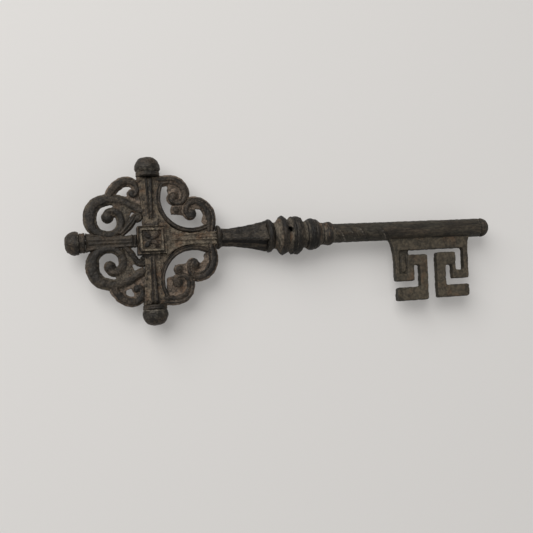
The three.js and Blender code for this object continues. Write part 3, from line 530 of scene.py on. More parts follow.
# The left arm is a narrower cast bar, dark nearly all over, with a low ridge down each face. Its tenon sits
# in the hub, and two small cross mouldings are cast on it beside the hub.
LEFT_BAR = ((7.2, 6.8, 6.6), (11, 6.8, 5.8), (25.2, 7.2, 5.5), (29.5, 8.6, 5.5), (35.3, 10.7, 5.6))
LEFT_RIDGE = ((11.6, 3.6, 6.2), (14, 3.8, 6.5), (27, 3.8, 6.5), (34, 4.6, 6.6))
CROSS_MOULDINGS = (8.7, 10.6)
MOULDING_HALVES = (0.55, 3.5, 3.7)
left_iron = iron("Left_arm_iron", ("height", 2.4, 3.2), 0.38, dark=(0.018, 0.0155, 0.0128), wear_and_edge_light=0.6,
                 rust=0.4, mottling=0.7, run=(0.75, 1, 1))
left_bm = bmesh.new()
bar(left_bm, (-1, 0), LEFT_BAR, FLAT_BAR)
bar(left_bm, (-1, 0), LEFT_RIDGE, FLUTED)
for distance in CROSS_MOULDINGS:
    middle, halves = Vector((-distance, 0, 0)), Vector(MOULDING_HALVES)
    block(left_bm, middle - halves, middle + halves)
finish_piece("Left_arm", cast_skin(left_bm), left_iron, "dark_iron", "left_arm")

# The right arm flares towards the hub between the two arc mouldings, and its tenon sits in the hub. It is
# cast, its face is tan with dust, and fine ridges run along it and fan out over the flare.
ARC_CENTRE = Vector((22.7, 22.7))
ARC_RADIUS = 17.9
ARC_WIDTH = 3.3
FLARE_START = 7.4
FLARE_STEPS = 24
FLARE_HALF_MOST = 9.0
ARC_LAP = 0.4
RIGHT_THICKNESS = 5.4
ROOT_RISE = 3.4
ROOT_FADE = 3.4
RIGHT_END = ((30, 0, 7.4, 5.4), (36.4, 0, 8.2, 5.6))
MIDDLE_RIDGE = ((8.4, 2.0, 6.2), (14, 2.5, 6.8), (26, 2.9, 6.9), (36.4, 3.5, 7.0))
SIDE_RIDGE = ((9.0, 4.6, 0.9, 5.9), (12.5, 3.1, 0.9, 5.9), (17, 2.3, 0.9, 5.8), (26, 2.5, 0.9, 5.8),
              (35.5, 3.0, 1.0, 5.8))
HUB_FILLET = ((5, 9.8), (8.4, 10.6), (10.8, 8.2), (9.8, 5), (5, 5))
HUB_FILLET_HALF = 2.2
END_PLATE = ((22, 3), (27, 5.4), (35, 6.4))
END_PLATE_HALF = 1.9
right_iron = iron("Right_arm_iron", ("height", 3.2, 4.6), 1.0, dust=(0.128, 0.104, 0.075), mottling=0.8,
                  run=(0.8, 1, 1))
right_bm = bmesh.new()
flare = []
for step in range(FLARE_STEPS + 1):
    x = FLARE_START + (ARC_CENTRE.x - FLARE_START) * step / FLARE_STEPS
    arc_edge = math.sqrt((ARC_RADIUS + ARC_WIDTH / 2) ** 2 - (x - ARC_CENTRE.x) ** 2)
    half_width = min(ARC_CENTRE.y + ARC_LAP - arc_edge, FLARE_HALF_MOST)
    root = ROOT_RISE * math.exp(-((x - FLARE_START) / ROOT_FADE) ** 2)
    flare.append((x, 0, 2 * half_width, RIGHT_THICKNESS + root))
sweep(right_bm, [*flare, *RIGHT_END], FLAT_BAR)
bar(right_bm, (1, 0), MIDDLE_RIDGE, FLUTED)
for way in (-1, 1):
    sweep(right_bm, [(x, way * y, *size) for x, y, *size in SIDE_RIDGE], FLUTED)
for way in (-1, 1):
    slab(right_bm, [(x, way * y) for x, y in HUB_FILLET], HUB_FILLET_HALF)
slab(right_bm, [(x, -y) for x, y in END_PLATE] + [*reversed(END_PLATE)], END_PLATE_HALF)
finish_piece("Right_arm", cast_skin(right_bm), right_iron, "dusty_iron", "right_arm")

# An arc moulding with two fine ridges lines the inner edge of each right-hand quarter, from the upright arm
# round to the right arm. It is cast and let into both arms, and the arms' dust lies along its foot.
ARC_FROM = 149
ARC_TURN = 156
ARC_STEPS = 70
ARC_THICKNESS = 5.0
ARC_SWELL = 1.2
ARC_TAPER = 0.6
BLUNTNESS = 0.3
moulding_iron = iron("Moulding_iron", ("height", 1.4, 2.3), 0.7, dust=(0.112, 0.090, 0.065))
for half, way in (("Upper", 1), ("Lower", -1)):
    arc = []
    for step in range(ARC_STEPS + 1):
        angle = math.radians(ARC_FROM + ARC_TURN * step / ARC_STEPS)
        swell = math.sin(math.pi * step / ARC_STEPS) ** BLUNTNESS
        x, y = ARC_CENTRE.x + ARC_RADIUS * math.cos(angle), ARC_CENTRE.y + ARC_RADIUS * math.sin(angle)
        arc.append((x, way * y, ARC_WIDTH - ARC_TAPER * (1 - swell), ARC_THICKNESS + ARC_SWELL * swell))
    arc_bm = bmesh.new()
    sweep(arc_bm, arc, FLUTED)
    arc_mesh = cast_skin(arc_bm, voxel=0.22, softness=4, lump=0.35, fine=0.2)
    finish_piece(f"{half}_arc_moulding", arc_mesh, moulding_iron, "dark_iron", f"{half.lower()}_arc_moulding")

# The large scrolls fill the left quarters of the bow. Each is one cast strand that leaves the upright arm,
# rolls round and ends in a round eye. Its ends are let into the arms, and a low web ties roll and strand.
STRAND = 5.6
STRAND_THICKNESS = 5.8
CREST_WIDTH_SHARE = 0.92
LEDGE_WIDTH_SHARE = 1.16
LEDGE_THICKNESS_SHARE = 0.56
ROUNDED_SIDES = 20
ACROSS_POWER = 0.75
UP_POWER = 0.7
scroll_iron = iron("Scroll_iron", ("height", 1.6, 2.2), 0.6, dark=(0.020, 0.0172, 0.0140),
                   brown=(0.050, 0.039, 0.028), dust=(0.090, 0.074, 0.053))


def fuller(value, power):
    """A sine or cosine that makes a circle squarer where the power is under 1."""
    return math.copysign(abs(value) ** power, value)


ROUNDED = [(fuller(math.cos(a), ACROSS_POWER), fuller(math.sin(a), UP_POWER))
           for a in (math.tau * side / ROUNDED_SIDES for side in range(ROUNDED_SIDES))]
LEDGE = ((-1.0, -0.5), (-0.9, -0.9), (-0.7, -1.0), (0.7, -1.0), (0.9, -0.9), (1.0, -0.5), (1.0, 0.5),
         (0.9, 0.9), (0.7, 1.0), (-0.7, 1.0), (-0.9, 0.9), (-1.0, 0.5))


def smooth_path(knots, steps):
    """Places on a smooth line through knots, evenly shared between them."""
    knots = [Vector(knot) for knot in knots]
    ends = [2 * knots[0] - knots[1], *knots, 2 * knots[-1] - knots[-2]]
    places = []
    for i in range(steps + 1):
        spot = i / steps * (len(knots) - 1)
        start = min(int(spot), len(knots) - 2)
        t = spot - start
        a, b, c, d = ends[start:start + 4]
        places.append(0.5 * (2 * b + (c - a) * t + (2 * a - 5 * b + 4 * c - d) * t * t
                             + (3 * b - a - 3 * c + d) * t ** 3))
    return places


def scroll_piece(name, eye, knots, steps, knob, webs, material, section=ROUNDED, voxel=0.28):
    """A scroll of the upper or the lower half, by its name. Its strand runs through (degrees, distance,
    width) knots round the eye and lies on a wider, lower ledge. The knob in the eye is (radius, rise) in mm,
    and each web is (outline, half its thickness in mm). Places are shares of the arm's reach."""
    way = 1 if name.startswith("Upper") else -1
    scroll_bm = bmesh.new()
    crest, ledge = [], []
    for degrees, distance, width in smooth_path(knots, steps):
        angle = math.radians(degrees)
        x = (eye[0] + distance * math.cos(angle)) * ARM_REACH
        y = way * (eye[1] + distance * math.sin(angle)) * ARM_REACH
        crest.append((x, y, width * STRAND * CREST_WIDTH_SHARE, STRAND_THICKNESS))
        ledge.append((x, y, width * STRAND * LEDGE_WIDTH_SHARE, STRAND_THICKNESS * LEDGE_THICKNESS_SHARE))
    sweep(scroll_bm, crest, section)
    sweep(scroll_bm, ledge, LEDGE)
    radius, rise = knob
    egg(scroll_bm, Vector((eye[0], way * eye[1], 0)) * ARM_REACH, (radius, radius, rise), fineness=4)
    for outline, half in webs:
        slab(scroll_bm, [(x * ARM_REACH, way * y * ARM_REACH) for x, y in outline], half)
    finish_piece(name, cast_skin(scroll_bm, voxel), material, "dark_iron", name.lower())


LARGE_EYE = (-0.651, 0.384)
LARGE_KNOTS = (
    (7, 0.545, 0.76), (17, 0.455, 0.92), (28, 0.389, 0.96), (59, 0.31, 1), (98, 0.272, 1.08),
    (128, 0.270, 1.14), (182, 0.265, 1.2), (222, 0.286, 1.02), (252, 0.281, 0.84), (289, 0.276, 0.78),
    (317, 0.250, 0.8), (344, 0.213, 0.86), (377, 0.176, 0.88), (407, 0.128, 0.78), (450, 0.072, 0.64),
    (500, 0.048, 0.54), (560, 0.036, 0.4),
)
LARGE_KNOB = (3.55, 3.3)
LARGE_WEB = ((-0.47, 0.19), (-0.335, 0.33), (-0.27, 0.47), (-0.345, 0.58), (-0.5, 0.64), (-0.57, 0.55),
             (-0.47, 0.48), (-0.435, 0.36))
LARGE_WEB_HALF = 1.9
for half in ("Upper", "Lower"):
    scroll_piece(f"{half}_large_scroll", LARGE_EYE, LARGE_KNOTS, 150, LARGE_KNOB,
                 [(LARGE_WEB, LARGE_WEB_HALF)], scroll_iron)

# The small scrolls sit between the large scrolls and the ends of the upright arm, and roll in to a small eye
# against that arm. They are cast like the large ones, and dust lies on their webs.
SMALL_EYE = (-0.259, 0.744)
SMALL_KNOTS = (
    (190, 0.36, 0.85), (180, 0.335, 0.95), (165, 0.295, 0.97), (148, 0.262, 0.97), (120, 0.222, 0.95),
    (92, 0.182, 0.9), (60, 0.135, 0.78), (25, 0.088, 0.6), (-20, 0.06, 0.5), (-80, 0.045, 0.42),
    (-140, 0.04, 0.36),
)
SMALL_KNOB = (3.0, 3.0)
SMALL_WEB_ROOT = ((-0.42, 0.6), (-0.13, 0.5), (-0.13, 0.93))
SMALL_WEBS = {
    "Upper": ((-0.47, 0.69), *SMALL_WEB_ROOT, (-0.25, 0.95), (-0.22, 0.82), (-0.34, 0.71)),
    "Lower": ((-0.5, 0.72), *SMALL_WEB_ROOT, (-0.3, 0.97), (-0.4, 0.9), (-0.3, 0.85), (-0.34, 0.74),
              (-0.42, 0.76), (-0.43, 0.88), (-0.5, 0.84)),
}
SMALL_WEB_HALF = 1.4
lobe_iron = iron("Lobe_iron", ("height", 1.5, 2.15), 0.95, dust=(0.134, 0.102, 0.076))
for half in ("Upper", "Lower"):
    scroll_piece(f"{half}_small_scroll", SMALL_EYE, SMALL_KNOTS, 90, SMALL_KNOB,
                 [(SMALL_WEBS[half], SMALL_WEB_HALF)], lobe_iron)

# The hook scrolls are the thin cast leaves in the left quarters, beside the hub. They rise from the left arm,
# where their feet are let in, and curl over against the upright arm. Their crest is on the front only.
HOOKS = {
    "Upper": ((-0.185, 0.35), (2.3, 2.9), (
        (221, 0.38, 0.62), (216, 0.197, 0.78), (193, 0.087, 0.7), (121, 0.058, 0.56), (70, 0.058, 0.48),
        (14, 0.041, 0.4), (-59, 0.029, 0.3))),
    "Lower": ((-0.139, 0.275), (1.9, 2.9), (
        (216, 0.348, 0.6), (206, 0.213, 0.66), (178, 0.131, 0.64), (135, 0.100, 0.6), (97, 0.091, 0.52),
        (58, 0.065, 0.44), (0, 0.039, 0.36), (-61, 0.029, 0.28))),
}
HOOK_WEB = ((-0.5, 0.24), (-0.38, 0.13), (-0.24, 0.32), (-0.33, 0.4), (-0.44, 0.36))
HOOK_WEB_HALF = 1.6
RIBBED_FRONT = ((-1.0, 0.0), (-0.97, 0.5), (-0.86, 0.80), (-0.7, 0.95), (-0.52, 0.92), (-0.38, 0.72),
                (-0.22, 0.86), (0.02, 0.98), (0.32, 1.0), (0.6, 0.92), (0.82, 0.76), (0.96, 0.45))
for half, (eye, knob, knots) in HOOKS.items():
    scroll_piece(f"{half}_hook_scroll", eye, knots, 60, knob, [(HOOK_WEB, HOOK_WEB_HALF)], scroll_iron,
                 RIBBED_FRONT, voxel=0.22)

# Two cast lobes fill the outer edge of each right-hand quarter: the side lobe rises from the right arm, and
# the end lobe from the end of the upright arm. Dusty webs close part of each, and the back has no crest.
SIDE_EYE = (0.654, 0.403)
SIDE_KNOTS = (
    (-50, 0.415, 0.8), (-44, 0.382, 0.94), (-37, 0.345, 1.04), (-15, 0.302, 1.1), (6, 0.27, 1.1),
    (26, 0.245, 1.06), (46, 0.228, 1.02), (66, 0.21, 0.98), (92, 0.188, 0.94), (122, 0.138, 0.8),
    (162, 0.092, 0.7), (206, 0.072, 0.62), (250, 0.062, 0.54), (310, 0.05, 0.42), (370, 0.044, 0.36),
)
SIDE_WEBS = {
    "Upper": ((0.64, 0.49), (0.74, 0.47), (0.8, 0.46), (0.88, 0.47), (0.83, 0.545), (0.72, 0.6), (0.6, 0.57)),
    "Lower": ((0.56, 0.46), (0.7, 0.42), (0.8, 0.34), (0.84, 0.24), (0.91, 0.26), (0.9, 0.41), (0.84, 0.53),
              (0.72, 0.6), (0.55, 0.55)),
}
SIDE_STUB = ((0.8, 0.27), (0.83, 0.37), (0.93, 0.4), (0.94, 0.22), (0.84, 0.22))
END_EYE = (0.384, 0.68)
END_KNOTS = (
    (137, 0.366, 0.86), (128, 0.322, 0.98), (117, 0.29, 1.0), (91, 0.254, 1.02), (60, 0.225, 1.02),
    (35, 0.196, 1.0), (9, 0.178, 0.96), (-21, 0.162, 0.86), (-57, 0.125, 0.7), (-104, 0.09, 0.6),
    (-150, 0.074, 0.54), (-210, 0.06, 0.44), (-280, 0.045, 0.38),
)
END_WEB_RIM = ((0.55, 0.63), (0.58, 0.72), (0.54, 0.84), (0.44, 0.92))
END_WEBS = {
    "Upper": ((0.285, 0.8), (0.3, 0.7), (0.45, 0.64), *END_WEB_RIM, (0.31, 0.9)),
    "Lower": ((0.2, 0.6), (0.33, 0.56), (0.45, 0.6), *END_WEB_RIM, (0.31, 0.93), (0.18, 0.88)),
}
LOBE_KNOB = (3.2, 3.2)
LOBE_WEB_HALF = 1.2
for half in ("Upper", "Lower"):
    scroll_piece(f"{half}_side_lobe_scroll", SIDE_EYE, SIDE_KNOTS, 110, LOBE_KNOB,
                 [(SIDE_WEBS[half], LOBE_WEB_HALF), (SIDE_STUB, LOBE_WEB_HALF)], lobe_iron, RIBBED_FRONT)
    scroll_piece(f"{half}_end_lobe_scroll", END_EYE, END_KNOTS, 110, LOBE_KNOB,
                 [(END_WEBS[half], LOBE_WEB_HALF)], lobe_iron, RIBBED_FRONT)

# A small cast bud hangs into each right-hand opening from the notch between its two lobes. A low web and two
# short stems join it to the lobes.
BUD_PLACE = (14.3, 16.6)
BUD_RADII = (3.3, 3.0, 2.8)
BUD_WEB_FROM = (11.8, 14.2)
BUD_WEB_TO = (16.8, 19.0)
BUD_WEB_HALF = 1.9
BUD_STEMS = (((14.5, 16.6, 4.4, 4.2), (18.8, 20.6, 3.6, 3.4)), ((15, 15.6, 4.0, 3.4), (19.6, 14.8, 3.4, 3.0)))
for half, way in (("Upper", 1), ("Lower", -1)):
    bud_bm = bmesh.new()
    egg(bud_bm, (BUD_PLACE[0], way * BUD_PLACE[1], 0), BUD_RADII, fineness=4)
    low, high = sorted((way * BUD_WEB_FROM[1], way * BUD_WEB_TO[1]))
    block(bud_bm, (BUD_WEB_FROM[0], low, -BUD_WEB_HALF), (BUD_WEB_TO[0], high, BUD_WEB_HALF))
    for stem in BUD_STEMS:
        sweep(bud_bm, [(x, way * y, *size) for x, y, *size in stem], ROUNDED)
    bud_mesh = cast_skin(bud_bm, voxel=0.2, softness=7)
    finish_piece(f"{half}_bud", bud_mesh, lobe_iron, "dark_iron", f"{half.lower()}_bud")

# A collar and a ball finial close the top, bottom and left arms. Both are cast and turned round the arm's
# axis, and the ball's spigot passes through the collar into the arm.
COLLAR_SIDES = 72
COLLAR_BORE = 1.8
COLLAR_EDGE = ((0, -0.75), (0.35, -0.25), (0.9, 0))
COLLAR_WAIST = -0.12
SPIGOT = 1.5
SPIGOT_LENGTH = 4
SEATING = 0.5
BALL_STEPS = 48
BALL_SPARE = 0.6
BALL_FULLNESS = 0.7
SEAT_FULLNESS = 2.2
ball_iron = iron("Ball_iron", ("height", 0.5, 1.0), 0.5, dark=(0.020, 0.0168, 0.0132),
                 brown=(0.052, 0.039, 0.027), wear_and_edge_light=0.8)
# The low edge setting gives the collars' edges some painted shade.
collar_iron = iron("Collar_iron", ("height", 3.0, 6.0), 0.65, wear_and_edge_light=0.35)


def turned(profile, start, along=(1, 0, 0), sides=96):
    """A turned piece from (distance, radius) pairs in mm along an axis from the middle of the hub."""
    bm = bmesh.new()
    axis = Vector(along)
    out = Vector((0, 0, 1))
    verts = [bm.verts.new(CENTRE + (axis * (start + place) + out * radius) * MM) for place, radius in profile]
    edges = [bm.edges.new(pair) for pair in zip(verts, verts[1:])]
    bmesh.ops.spin(bm, geom=verts + edges, cent=CENTRE, axis=axis, angle=math.tau, steps=sides,
                   use_merge=True, dvec=(0, 0, 0))
    bmesh.ops.remove_doubles(bm, verts=bm.verts, dist=0.002 * MM)
    bmesh.ops.recalc_face_normals(bm, faces=bm.faces)
    return mesh_of("turned", bm)


def bored(profile, bore, length):
    """The closed section of a ring: its outer profile and its bore."""
    return [(0, bore), *profile, (length, bore), (0, bore)]


def rounded_profile(knots, spacing):
    """A smooth profile through (distance, radius) knots."""
    return smooth_path(knots, int((knots[-1][0] - knots[0][0]) / spacing) + 8)


for name, along, ball, collar, length, standoff in (
    ("Top", (0, 1, 0), 6.7, 6.6, 3.0, 1.9),
    ("Bottom", (0, -1, 0), 6.7, 6.6, 3.0, 1.9),
    ("Left", (-1, 0, 0), 6.2, 5.5, 3.6, 1.3),
):
    near = [(place, collar + rise) for place, rise in COLLAR_EDGE]
    far = [(length - place, collar + rise) for place, rise in reversed(COLLAR_EDGE)]
    rim = rounded_profile([*near, (length / 2, collar + COLLAR_WAIST), *far], 0.2)
    collar_mesh = turned(bored(rim, COLLAR_BORE, length), ARM_REACH, along, COLLAR_SIDES)
    collar_mesh = sand_cast(collar_mesh, lump=0.45, fine=0.25, level=0.55)
    finish_piece(f"{name}_collar", collar_mesh, collar_iron, "dark_iron", f"{name.lower()}_collar")

    middle = length + standoff
    seat = -math.asin((standoff + SEATING) / ball)
    outline = [(-SPIGOT_LENGTH, 0), (-SPIGOT_LENGTH, SPIGOT), (length - SEATING, SPIGOT)]
    for step in range(BALL_STEPS):
        angle = seat + (math.pi / 2 - seat) * step / BALL_STEPS
        fullness = BALL_FULLNESS if angle > 0 else SEAT_FULLNESS
        outline.append((middle + ball * math.sin(angle), (ball + BALL_SPARE) * math.cos(angle) ** fullness))
    outline.append((middle + ball, 0))
    ball_mesh = sand_cast(turned(outline, ARM_REACH, along, COLLAR_SIDES), lump=0.6, fine=0.3, level=0.9)
    finish_piece(f"{name}_finial", ball_mesh, ball_iron, "dark_iron", f"{name.lower()}_finial")

# A thin cast collar ring sits on the end of the right arm. The neck behind it is a square cast bar that
# stands on its corner and widens towards the knop, with the tang inside. A band of painted shade lies along
# two of its flutes, under a corner edge.
NECK_START = 36.2
TANG_BORE = 2.7
NECK_RING = 2.6
NECK_RING_KNOTS = ((0, 5.6), (0.2, 6.5), (0.8, 6.75), (1.5, 6.5), (2.2, 5.9), (2.6, 5.2))
NECK_RING_LIFT = 0.3
ring_iron = iron("Ring_iron", ("radius", 4.6, 6.0), 0.5, wear_and_edge_light=0.6)
ring_section = bored(rounded_profile(NECK_RING_KNOTS, 0.1), TANG_BORE, NECK_RING)
ring_mesh = turned(ring_section, NECK_START, sides=COLLAR_SIDES)
ring_mesh.transform(Matrix.Translation((0, NECK_RING_LIFT * MM, 0)))
ring_mesh = sand_cast(ring_mesh, lump=0.5, fine=0.3, level=0.6)
finish_piece("Neck_ring", ring_mesh, ring_iron, "dark_iron", "neck_ring")

NECK_LENGTH = 26.4
NECK_STEPS = 40
NECK_TURN = math.radians(16)
CORNER_SHARE = 0.985
CORNER_SPREAD = 0.075
FLUTED_SIDE = ((9, 0.78), (18, 0.60), (30, 0.52), (44, 0.53), (58, 0.62), (72, 0.78))
HOLLOWED_SIDE = ((14, 0.76), (28, 0.66), (45, 0.65), (62, 0.69), (76, 0.80))
NECK_KNOTS = ((0, 5.7), (2.4, 5.5), (6.3, 5.55), (10, 6.15), (16.4, 7.1), (22.4, 8.3), (25.4, 9.15),
              (26.5, 9.3))
SHADE_BAND_ANGLE = 145
SHADE_BAND_HALF = 20
SHADE_BAND_DEPTH = 0.5
neck_iron = iron("Neck_iron", ("radius", 1.0, 3.2), 0.7, brown=(0.052, 0.042, 0.031), run=(0.4, 1, 1))
neck_section = []
for corner, hollow in enumerate((HOLLOWED_SIDE, FLUTED_SIDE) * 2):
    angle = math.pi / 2 * corner + NECK_TURN
    outline = [(-CORNER_SPREAD, CORNER_SHARE), (CORNER_SPREAD, CORNER_SHARE)]
    outline += [(math.radians(degrees), distance) for degrees, distance in hollow]
    neck_section += [(math.cos(angle + turn) * distance, math.sin(angle + turn) * distance)
                     for turn, distance in outline]
neck_bm = bmesh.new()
neck_bars = [(NECK_START + NECK_RING + place, 2 * radius, 2 * radius)
             for place, radius in smooth_path(NECK_KNOTS, NECK_STEPS)]
bar(neck_bm, (1, 0), neck_bars, neck_section)
neck_mesh = cast_skin(neck_bm, voxel=0.3, softness=5, lump=0.55, fine=0.3)
# Painted shade: the relief is lowered in a band along two flutes, which darkens them.
for note, vertex in zip(neck_mesh.attributes["relief"].data, neck_mesh.vertices):
    spot = vertex.co - CENTRE
    off_flute = math.degrees(math.atan2(spot.z, spot.y)) % 180 - SHADE_BAND_ANGLE
    note.value -= SHADE_BAND_DEPTH * math.exp(-(off_flute / SHADE_BAND_HALF) ** 4)
finish_piece("Square_neck", neck_mesh, neck_iron, "dark_iron", "square_neck")

# The knop is strung on the tang: a front ring, a body of two beads with the hole of a cross pin, a rear bead
# and an end ring. All are turned after casting, so fine rings run round them, and dust sits in the coves.
# The low edge setting gives the knop's rings some painted shade on their edges.
TURNED = {"dark": BLACKENED, "brown": UMBER, "dust": (0.100, 0.083, 0.062), "wear_and_edge_light": 0.35,
          "run": (1.3, 0.5, 0.5)}
knop_iron = iron("Knop_iron", ("radius", 9.2, 10.9), 0.95, **TURNED)
bead_iron = iron("Bead_iron", ("radius", 7.4, 8.9), 0.95, **TURNED)
end_iron = iron("End_ring_iron", ("radius", 6.2, 7.0), 0.9, **TURNED)
KNOP_START = NECK_START + NECK_RING + NECK_LENGTH
FRONT_RING = 3.6
FRONT_KNOTS = ((0, 8.9), (0.5, 9.4), (1.4, 9.7), (2.4, 9.3), (3.0, 8.6), (3.6, 8.0))
GROOVE_HALF = 0.4


def fine_rings(profile, depth, spacing, sharpness=3):
    """A profile with the fine rings that turning leaves, as deep and as far apart as given in mm."""
    return [(place, radius - depth * (0.5 + 0.5 * math.cos(place * math.tau / spacing)) ** sharpness)
            for place, radius in profile]


def bumps(place, heights, half):
    """How high soft bumps, given as (middle, height) in mm, are at a place."""
    return sum(height * math.exp(-((place - middle) / half) ** 2) for middle, height in heights)


def grooved(profile, grooves):
    """A profile with single grooves, given as (middle, depth) in mm."""
    return [(place, radius - bumps(place, grooves, GROOVE_HALF)) for place, radius in profile]


front_mesh = turned(bored(rounded_profile(FRONT_KNOTS, 0.12), TANG_BORE, FRONT_RING), KNOP_START)
front_mesh = sand_cast(front_mesh, lump=0.4, fine=0.25)
finish_piece("Knop_front_ring", front_mesh, bead_iron, "dark_iron", "knop_front_ring")

BODY_START = KNOP_START + FRONT_RING
BODY_LENGTH = 20
BODY_KNOTS = (
    (0, 8.1), (1.2, 8.05), (2.4, 8.4), (3.4, 9.5), (4.4, 11.0), (5.2, 11.6), (6.0, 11.75), (6.9, 11.5),
    (7.8, 10.7), (8.5, 9.9), (9.2, 9.5), (9.9, 9.8), (10.6, 10.7), (11.5, 11.15), (13.8, 11.25), (15.6, 11.1),
    (16.5, 10.5), (17.3, 9.3), (18.1, 8.3), (19.0, 8.0), (20, 8.1),
)
BODY_GROOVES = ((7.0, 0.55), (12.4, 0.5), (15.9, 0.45))
BODY_SWELLS = ((10.0, 0.85), (14.0, 0.6))
SWELL_HALF = 1.7
BODY_SKIN = 7
PIN_PLACE = 8.7
PIN_LEAN = math.radians(-15)
PIN_HOLE = 1.3
DRILL_LENGTH = 26
body_profile = grooved(fine_rings(rounded_profile(BODY_KNOTS, 0.14), depth=0.16, spacing=1.25), BODY_GROOVES)
body_mesh = turned(bored(body_profile, TANG_BORE, BODY_LENGTH), BODY_START, sides=128)
for vertex in body_mesh.vertices:
    spot = (vertex.co - CENTRE) / MM
    radius = math.hypot(spot.y, spot.z)
    if radius > BODY_SKIN and spot.y < 0:
        swell = bumps(spot.x - BODY_START, BODY_SWELLS, SWELL_HALF)
        vertex.co.y -= (spot.y / radius) ** 2 * swell * MM
drill_bm = bmesh.new()
drill_place = Matrix.Translation(CENTRE + Vector((BODY_START + PIN_PLACE, 0, 0)) * MM)
drill_place @= Matrix.Rotation(PIN_LEAN, 4, "X")
bmesh.ops.create_cone(drill_bm, cap_ends=True, segments=40, radius1=PIN_HOLE * MM, radius2=PIN_HOLE * MM,
                      depth=DRILL_LENGTH * MM, matrix=drill_place)
drill = placed("drill", mesh_of("drill", drill_bm))
body_mesh = worked(body_mesh, ("BOOLEAN", {"operation": "DIFFERENCE", "solver": "EXACT", "object": drill}))
bpy.data.objects.remove(drill)
body_mesh = sand_cast(body_mesh, lump=0.5, fine=0.35, level=1.0)
finish_piece("Knop_body", body_mesh, knop_iron, "dark_iron", "knop_body")

REAR_START = BODY_START + BODY_LENGTH
REAR_BEAD = 9.6
REAR_KNOTS = ((0, 8.0), (0.6, 8.3), (1.6, 9.1), (2.9, 9.45), (4.4, 9.3), (5.9, 8.9), (7.2, 8.1), (8.3, 7.2),
              (9.0, 6.7), (9.6, 6.5))
REAR_GROOVES = ((4.8, 0.5),)
rear_profile = grooved(fine_rings(rounded_profile(REAR_KNOTS, 0.14), depth=0.14, spacing=1.1), REAR_GROOVES)
rear_mesh = turned(bored(rear_profile, TANG_BORE, REAR_BEAD), REAR_START)
rear_mesh = sand_cast(rear_mesh, lump=0.45, fine=0.25)
finish_piece("Knop_rear_bead", rear_mesh, bead_iron, "dark_iron", "knop_rear_bead")

END_START = REAR_START + REAR_BEAD
END_RING = 7.2
END_RING_KNOTS = ((0, 6.5), (1.2, 6.55), (2.6, 6.8), (4.3, 7.1), (5.4, 6.9), (6.4, 6.3), (7.2, 5.8))
end_profile = fine_rings(rounded_profile(END_RING_KNOTS, 0.12), depth=0.22, spacing=1.05, sharpness=2)
end_mesh = turned(bored(end_profile, TANG_BORE, END_RING), END_START)
end_mesh = sand_cast(end_mesh, lump=0.35, fine=0.2)
finish_piece("Knop_end_ring", end_mesh, end_iron, "dark_iron", "knop_end_ring")

# The tang and the cross pin are plain iron rods inside the neck and the knop, and hold the bow on the shank.
# They stay as CAD nodes. Only the pin's end shows, deep in its hole, painted near black as shade.
# Painted shade: the pin gets the near black shade colour.
pin_iron = iron("Pin_iron", ("radius", 1.0, 2.0), 0.3, dark=SHADE_BLACK, brown=DARK)
for node in ("tang", "cross_pin"):
    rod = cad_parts[node]
    rod.data.materials.clear()
    rod.data.materials.append(pin_iron)

# The shank is a round cast bar that the tang holds on the knop. Its first third still has a few low slanting
# ridges, and the rest is worn smooth. A rounded tip with a ring groove closes its end on a spigot.
SHANK_START = END_START + END_RING
SHANK_LENGTH = 95.0
SHANK_RADIUS = 5.7
SHANK_STEPS = 320
SHANK_HEAD = ((-1.2, 0), (-1.2, 4.6), (-0.9, 5.3), (-0.4, 5.6))
SHANK_FOOT = ((0.3, 5.5), (0.7, 4.9), (0.7, 0))
SKIN_SHARE = 0.9
RIDGES = (3.4, 9.9, 16.4, 29.2)
RIDGE_SLANT = 3.0
RIDGE_HEIGHT = 0.75
RIDGE_HALF = 1.0
VALLEY_DEPTH = 0.7
VALLEY_PLACE = 2.4
VALLEY_HALF = 0.9
RIDGE_ANGLE = -0.55
RIDGE_REACH = 0.75
shank_iron = iron("Shank_iron", ("radius", 5.2, 6.2), 0.5, dust=(0.066, 0.058, 0.041), rust=0.35,
                  mottling=0.75, run=(0.22, 1, 1))
round_bar = [(SHANK_LENGTH * step / SHANK_STEPS, SHANK_RADIUS) for step in range(SHANK_STEPS + 1)]
shank_foot = [(SHANK_LENGTH + place, radius) for place, radius in SHANK_FOOT]
shank_mesh = turned([*SHANK_HEAD, *round_bar, *shank_foot], SHANK_START)
for vertex in shank_mesh.vertices:
    spot = (vertex.co - CENTRE) / MM
    if math.hypot(spot.y, spot.z) > SHANK_RADIUS * SKIN_SHARE:
        angle = math.atan2(spot.y, spot.z)
        nearest = min(abs(spot.x - SHANK_START - ridge + RIDGE_SLANT * angle) for ridge in RIDGES)
        rise = RIDGE_HEIGHT * math.exp(-(nearest / RIDGE_HALF) ** 2)
        rise -= VALLEY_DEPTH * math.exp(-((nearest - VALLEY_PLACE) / VALLEY_HALF) ** 2)
        rise *= math.exp(-((angle - RIDGE_ANGLE) / RIDGE_REACH) ** 2)
        vertex.co += Vector((0, spot.y, spot.z)).normalized() * rise * MM
finish_piece("Shank", sand_cast(shank_mesh, lump=0.4, fine=0.2), shank_iron, "dark_iron", "shank")

TIP_SPIGOT = 2
TIP_SPIGOT_LENGTH = 6
TIP_LENGTH = 7.2
TIP_KNOTS = ((0, 5.7), (0.3, 5.2), (0.8, 5.1), (1.2, 5.5), (1.8, 5.95), (2.9, 5.9), (4.3, 5.4), (5.5, 4.5),
             (6.4, 3.2), (6.9, 2.0), (7.15, 1.0))
tip_profile = [(-TIP_SPIGOT_LENGTH, 0), (-TIP_SPIGOT_LENGTH, TIP_SPIGOT), (0, TIP_SPIGOT),
               *rounded_profile(TIP_KNOTS, 0.12), (TIP_LENGTH, 0)]
tip_mesh = sand_cast(turned(tip_profile, SHANK_START + SHANK_LENGTH), lump=0.4, fine=0.2, level=1.0)
finish_piece("Shank_tip", tip_mesh, shank_iron, "dark_iron", "shank_tip")

